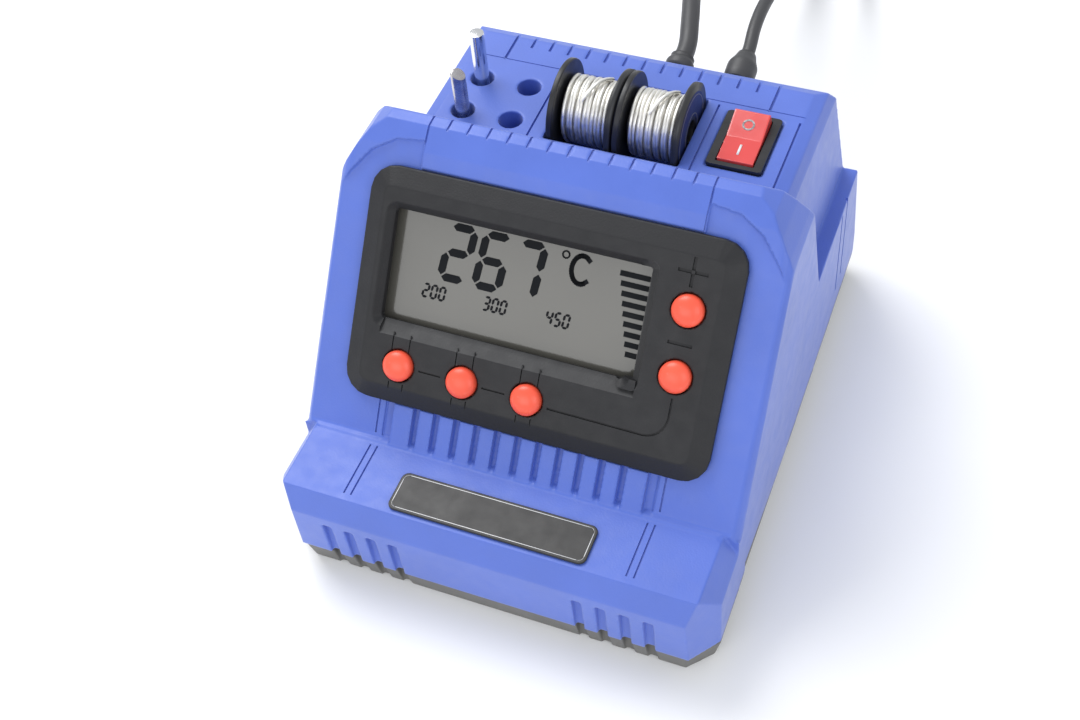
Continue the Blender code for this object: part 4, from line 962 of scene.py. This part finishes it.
grommet("mains_grommet", "mains_strain_relief", MAINS_X, 0.0036, MAINS_RADIUS, 0.0041, 0.0050)
grommet("iron_grommet", "iron_strain_relief", IRON_X, 0.0034, IRON_RADIUS, 0.0043, 0.0100)
lead.data.materials.append(CORD_PVC)
cable.data.materials.append(CORD_PVC)

sculpted("plug_body", "mains_plug", PLUG_PVC, 0.0004, 3)


def make_tie(name, centre, radii, height, turn):
    """A cable tie round one side of a coil: a thin strap with its head on top and a short cut end."""
    place = Matrix.Translation((*centre, 0)) @ Matrix.Rotation(turn, 4, "Z") @ FACE
    middle = (radii[0] + radii[1]) / 2, height / 2
    width = radii[1] - radii[0]
    outer = rounded((width + 0.0014, height + 0.0008), (middle[0], middle[1] + 0.0002), 0.0016)
    inner = rounded((width + 0.0002, height), middle, 0.0012)
    strap = bmesh.new()
    add_prism(strap, outer, -0.0018, 0.0018, place)
    base = helper(mesh_from(strap, name))
    hole = bmesh.new()
    add_prism(hole, inner, -0.0030, 0.0030, place)
    boolean(base, hole, "DIFFERENCE", "EXACT")
    head = bmesh.new()
    shape = rounded((0.0048, 0.0028), (middle[0], height + 0.0013), 0.0006)
    add_prism(head, shape, -0.0024, 0.0024, place)
    boolean(base, head, "UNION", "EXACT")
    end = bmesh.new()
    shape = rounded((0.0060, 0.0009), (middle[0] + 0.0040, height + 0.0016), 0.0003)
    add_prism(end, shape, -0.0015, 0.0015, place)
    boolean(base, end, "UNION", "EXACT")
    made = base.data
    bpy.data.objects.remove(base)
    tie = new_piece(name, made, TIE)
    made.set_sharp_from_angle(angle=math.radians(35))


make_tie("mains_tie", MAINS_COIL, (0.0249, 0.0413), 0.0109, math.radians(180))
make_tie("iron_tie", IRON_COIL, (0.0166, 0.0285), 0.0079, math.radians(160))
for k in (1, 2):
    sculpted(f"plug_pin_{k}_piece", f"plug_pin_{k}", BRASS, 0.00018, 3)


def make_iron():
    radius = 0.0112
    place = Matrix.Translation((0.048, 0.4000, radius)) @ Matrix.Rotation(math.pi / 2, 4, "X")
    bore = IRON_RADIUS + 0.0001
    ribs = []
    count = 9
    for k in range(count):
        z = -0.0050 - 0.0190 * k / count
        r = 0.0046 + (0.0027 - 0.0046) * k / count
        ribs += [(r, z), (r, z - 0.0011), (r - 0.0006, z - 0.0012), (r - 0.0006, z - 0.0020)]
    relief = [(0.0056, -0.0003), (0.0056, -0.0040)] + ribs
    relief += [(0.0026, -0.0240), (bore, -0.0240), (bore, 0.0040), (0.0044, 0.0040), (0.0044, -0.0003)]
    piece = lathe("iron_boot", relief, place, RUBBER, soft=0.0003, closed=True)
    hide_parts("iron_cable_relief")
    end = 0.0640
    handle = [
        (0.0046, end), (radius - 0.0022, end), (radius - 0.0022, end - 0.0060),
        (radius - 0.0008, end - 0.0100),
        (radius - 0.0008, 0.0200), (radius, 0.0120), (radius, 0.0030), (radius - 0.0020, 0.0), (0.0047, 0.0),
        (0.0047, 0.0050), (0.0030, 0.0050), (0.0030, 0.0100), (0.0046, 0.0110),
    ]
    piece = lathe("handle_shell", handle, place, BLUE_HANDLE, soft=0.0012, steps=96, closed=True)
    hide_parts("iron_handle")
    start, end = end + GAP, end + 0.0440
    land, groove = radius - 0.0018, radius - 0.0023
    waist = []
    for k in range(10):
        z = end - 0.0120 - 0.0022 * k
        waist += [(land, z), (land, z - 0.0014), (groove, z - 0.0015), (groove, z - 0.0021)]
    grip = [(0.0046, end), (radius - 0.0010, end), (radius, end - 0.0012), (radius, end - 0.0060)]
    grip += [(land, end - 0.0110)] + waist + [(land, start + 0.0080), (radius - 0.0008, start + 0.0040)]
    grip += [(radius - 0.0010, start), (0.0046, start)]
    piece = lathe("grip_sleeve", grip, place, RUBBER, soft=0.0005, steps=96, closed=True)
    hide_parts("iron_grip")
    sculpted("collar_nut_piece", "iron_collar_nut", STEEL, 0.0002, 3)
    sculpted("barrel_piece", "iron_barrel", BARREL, 0.0002, 3)
    sculpted("iron_tip_piece", "iron_tip", TIP_TINNED, 0.00012, 3)


make_iron()

INNER = {"transformer_core": LAMINATION, "transformer_winding": TAPE, "control_board": BOARD}
INNER.update({f"rubber_foot_{k}": RUBBER for k in (1, 2, 3, 4)})
INNER.update({f"transformer_screw_{k}": STEEL for k in (1, 2)})
for kind in ("board", "housing"):
    INNER.update({f"{kind}_screw_{k}": STEEL for k in (1, 2, 3, 4)})
for node, finish in INNER.items():
    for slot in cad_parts[node].material_slots:
        slot.material = finish


# ---- stage and light ------------------------------------------------------------------------------


def make_stage():
    mesh = bpy.data.meshes.new("floor")
    far, z = 6, -0.0002
    corners = [(-far, -far, z), (far, -far, z), (far, far, z), (-far, far, z)]
    mesh.from_pydata(corners, [], [(0, 1, 2, 3)])
    floor = bpy.data.objects.new("floor", mesh)
    SCENE.collection.objects.link(floor)
    made = bpy.data.materials.new("floor")
    made.use_nodes = True
    shader = made.node_tree.nodes["Principled BSDF"]
    shader.inputs["Base Color"].default_value = (0.92, 0.92, 0.925, 1)
    shader.inputs["Roughness"].default_value = 0.7
    mesh.materials.append(made)


def area_light(name, place, target, size, power):
    data = bpy.data.lights.new(name, "AREA")
    data.shape = "RECTANGLE"
    data.size, data.size_y = size
    data.energy = power
    light = bpy.data.objects.new(name, data)
    light.location = place
    aim = Vector(target) - Vector(place)
    light.rotation_euler = aim.to_track_quat("-Z", "Y").to_euler()
    SCENE.collection.objects.link(light)


def make_light():
    world = bpy.data.worlds.new("world")
    SCENE.world = world
    world.use_nodes = True
    background = world.node_tree.nodes["Background"]
    background.inputs["Color"].default_value = (0.93, 0.96, 1.0, 1)
    background.inputs["Strength"].default_value = 0.72
    SCENE.view_settings.view_transform = "Standard"
    area_light("key", (-0.55, 0.35, 0.95), (0, 0, 0.04), (0.7, 0.7), 9.0)
    area_light("fill", (0.75, -0.55, 0.60), (0, 0, 0.05), (0.6, 0.6), 2.5)
    area_light("front", (-0.2, -0.9, 0.5), (0, 0, 0.05), (0.8, 0.5), 2.5)


make_stage()
make_light()
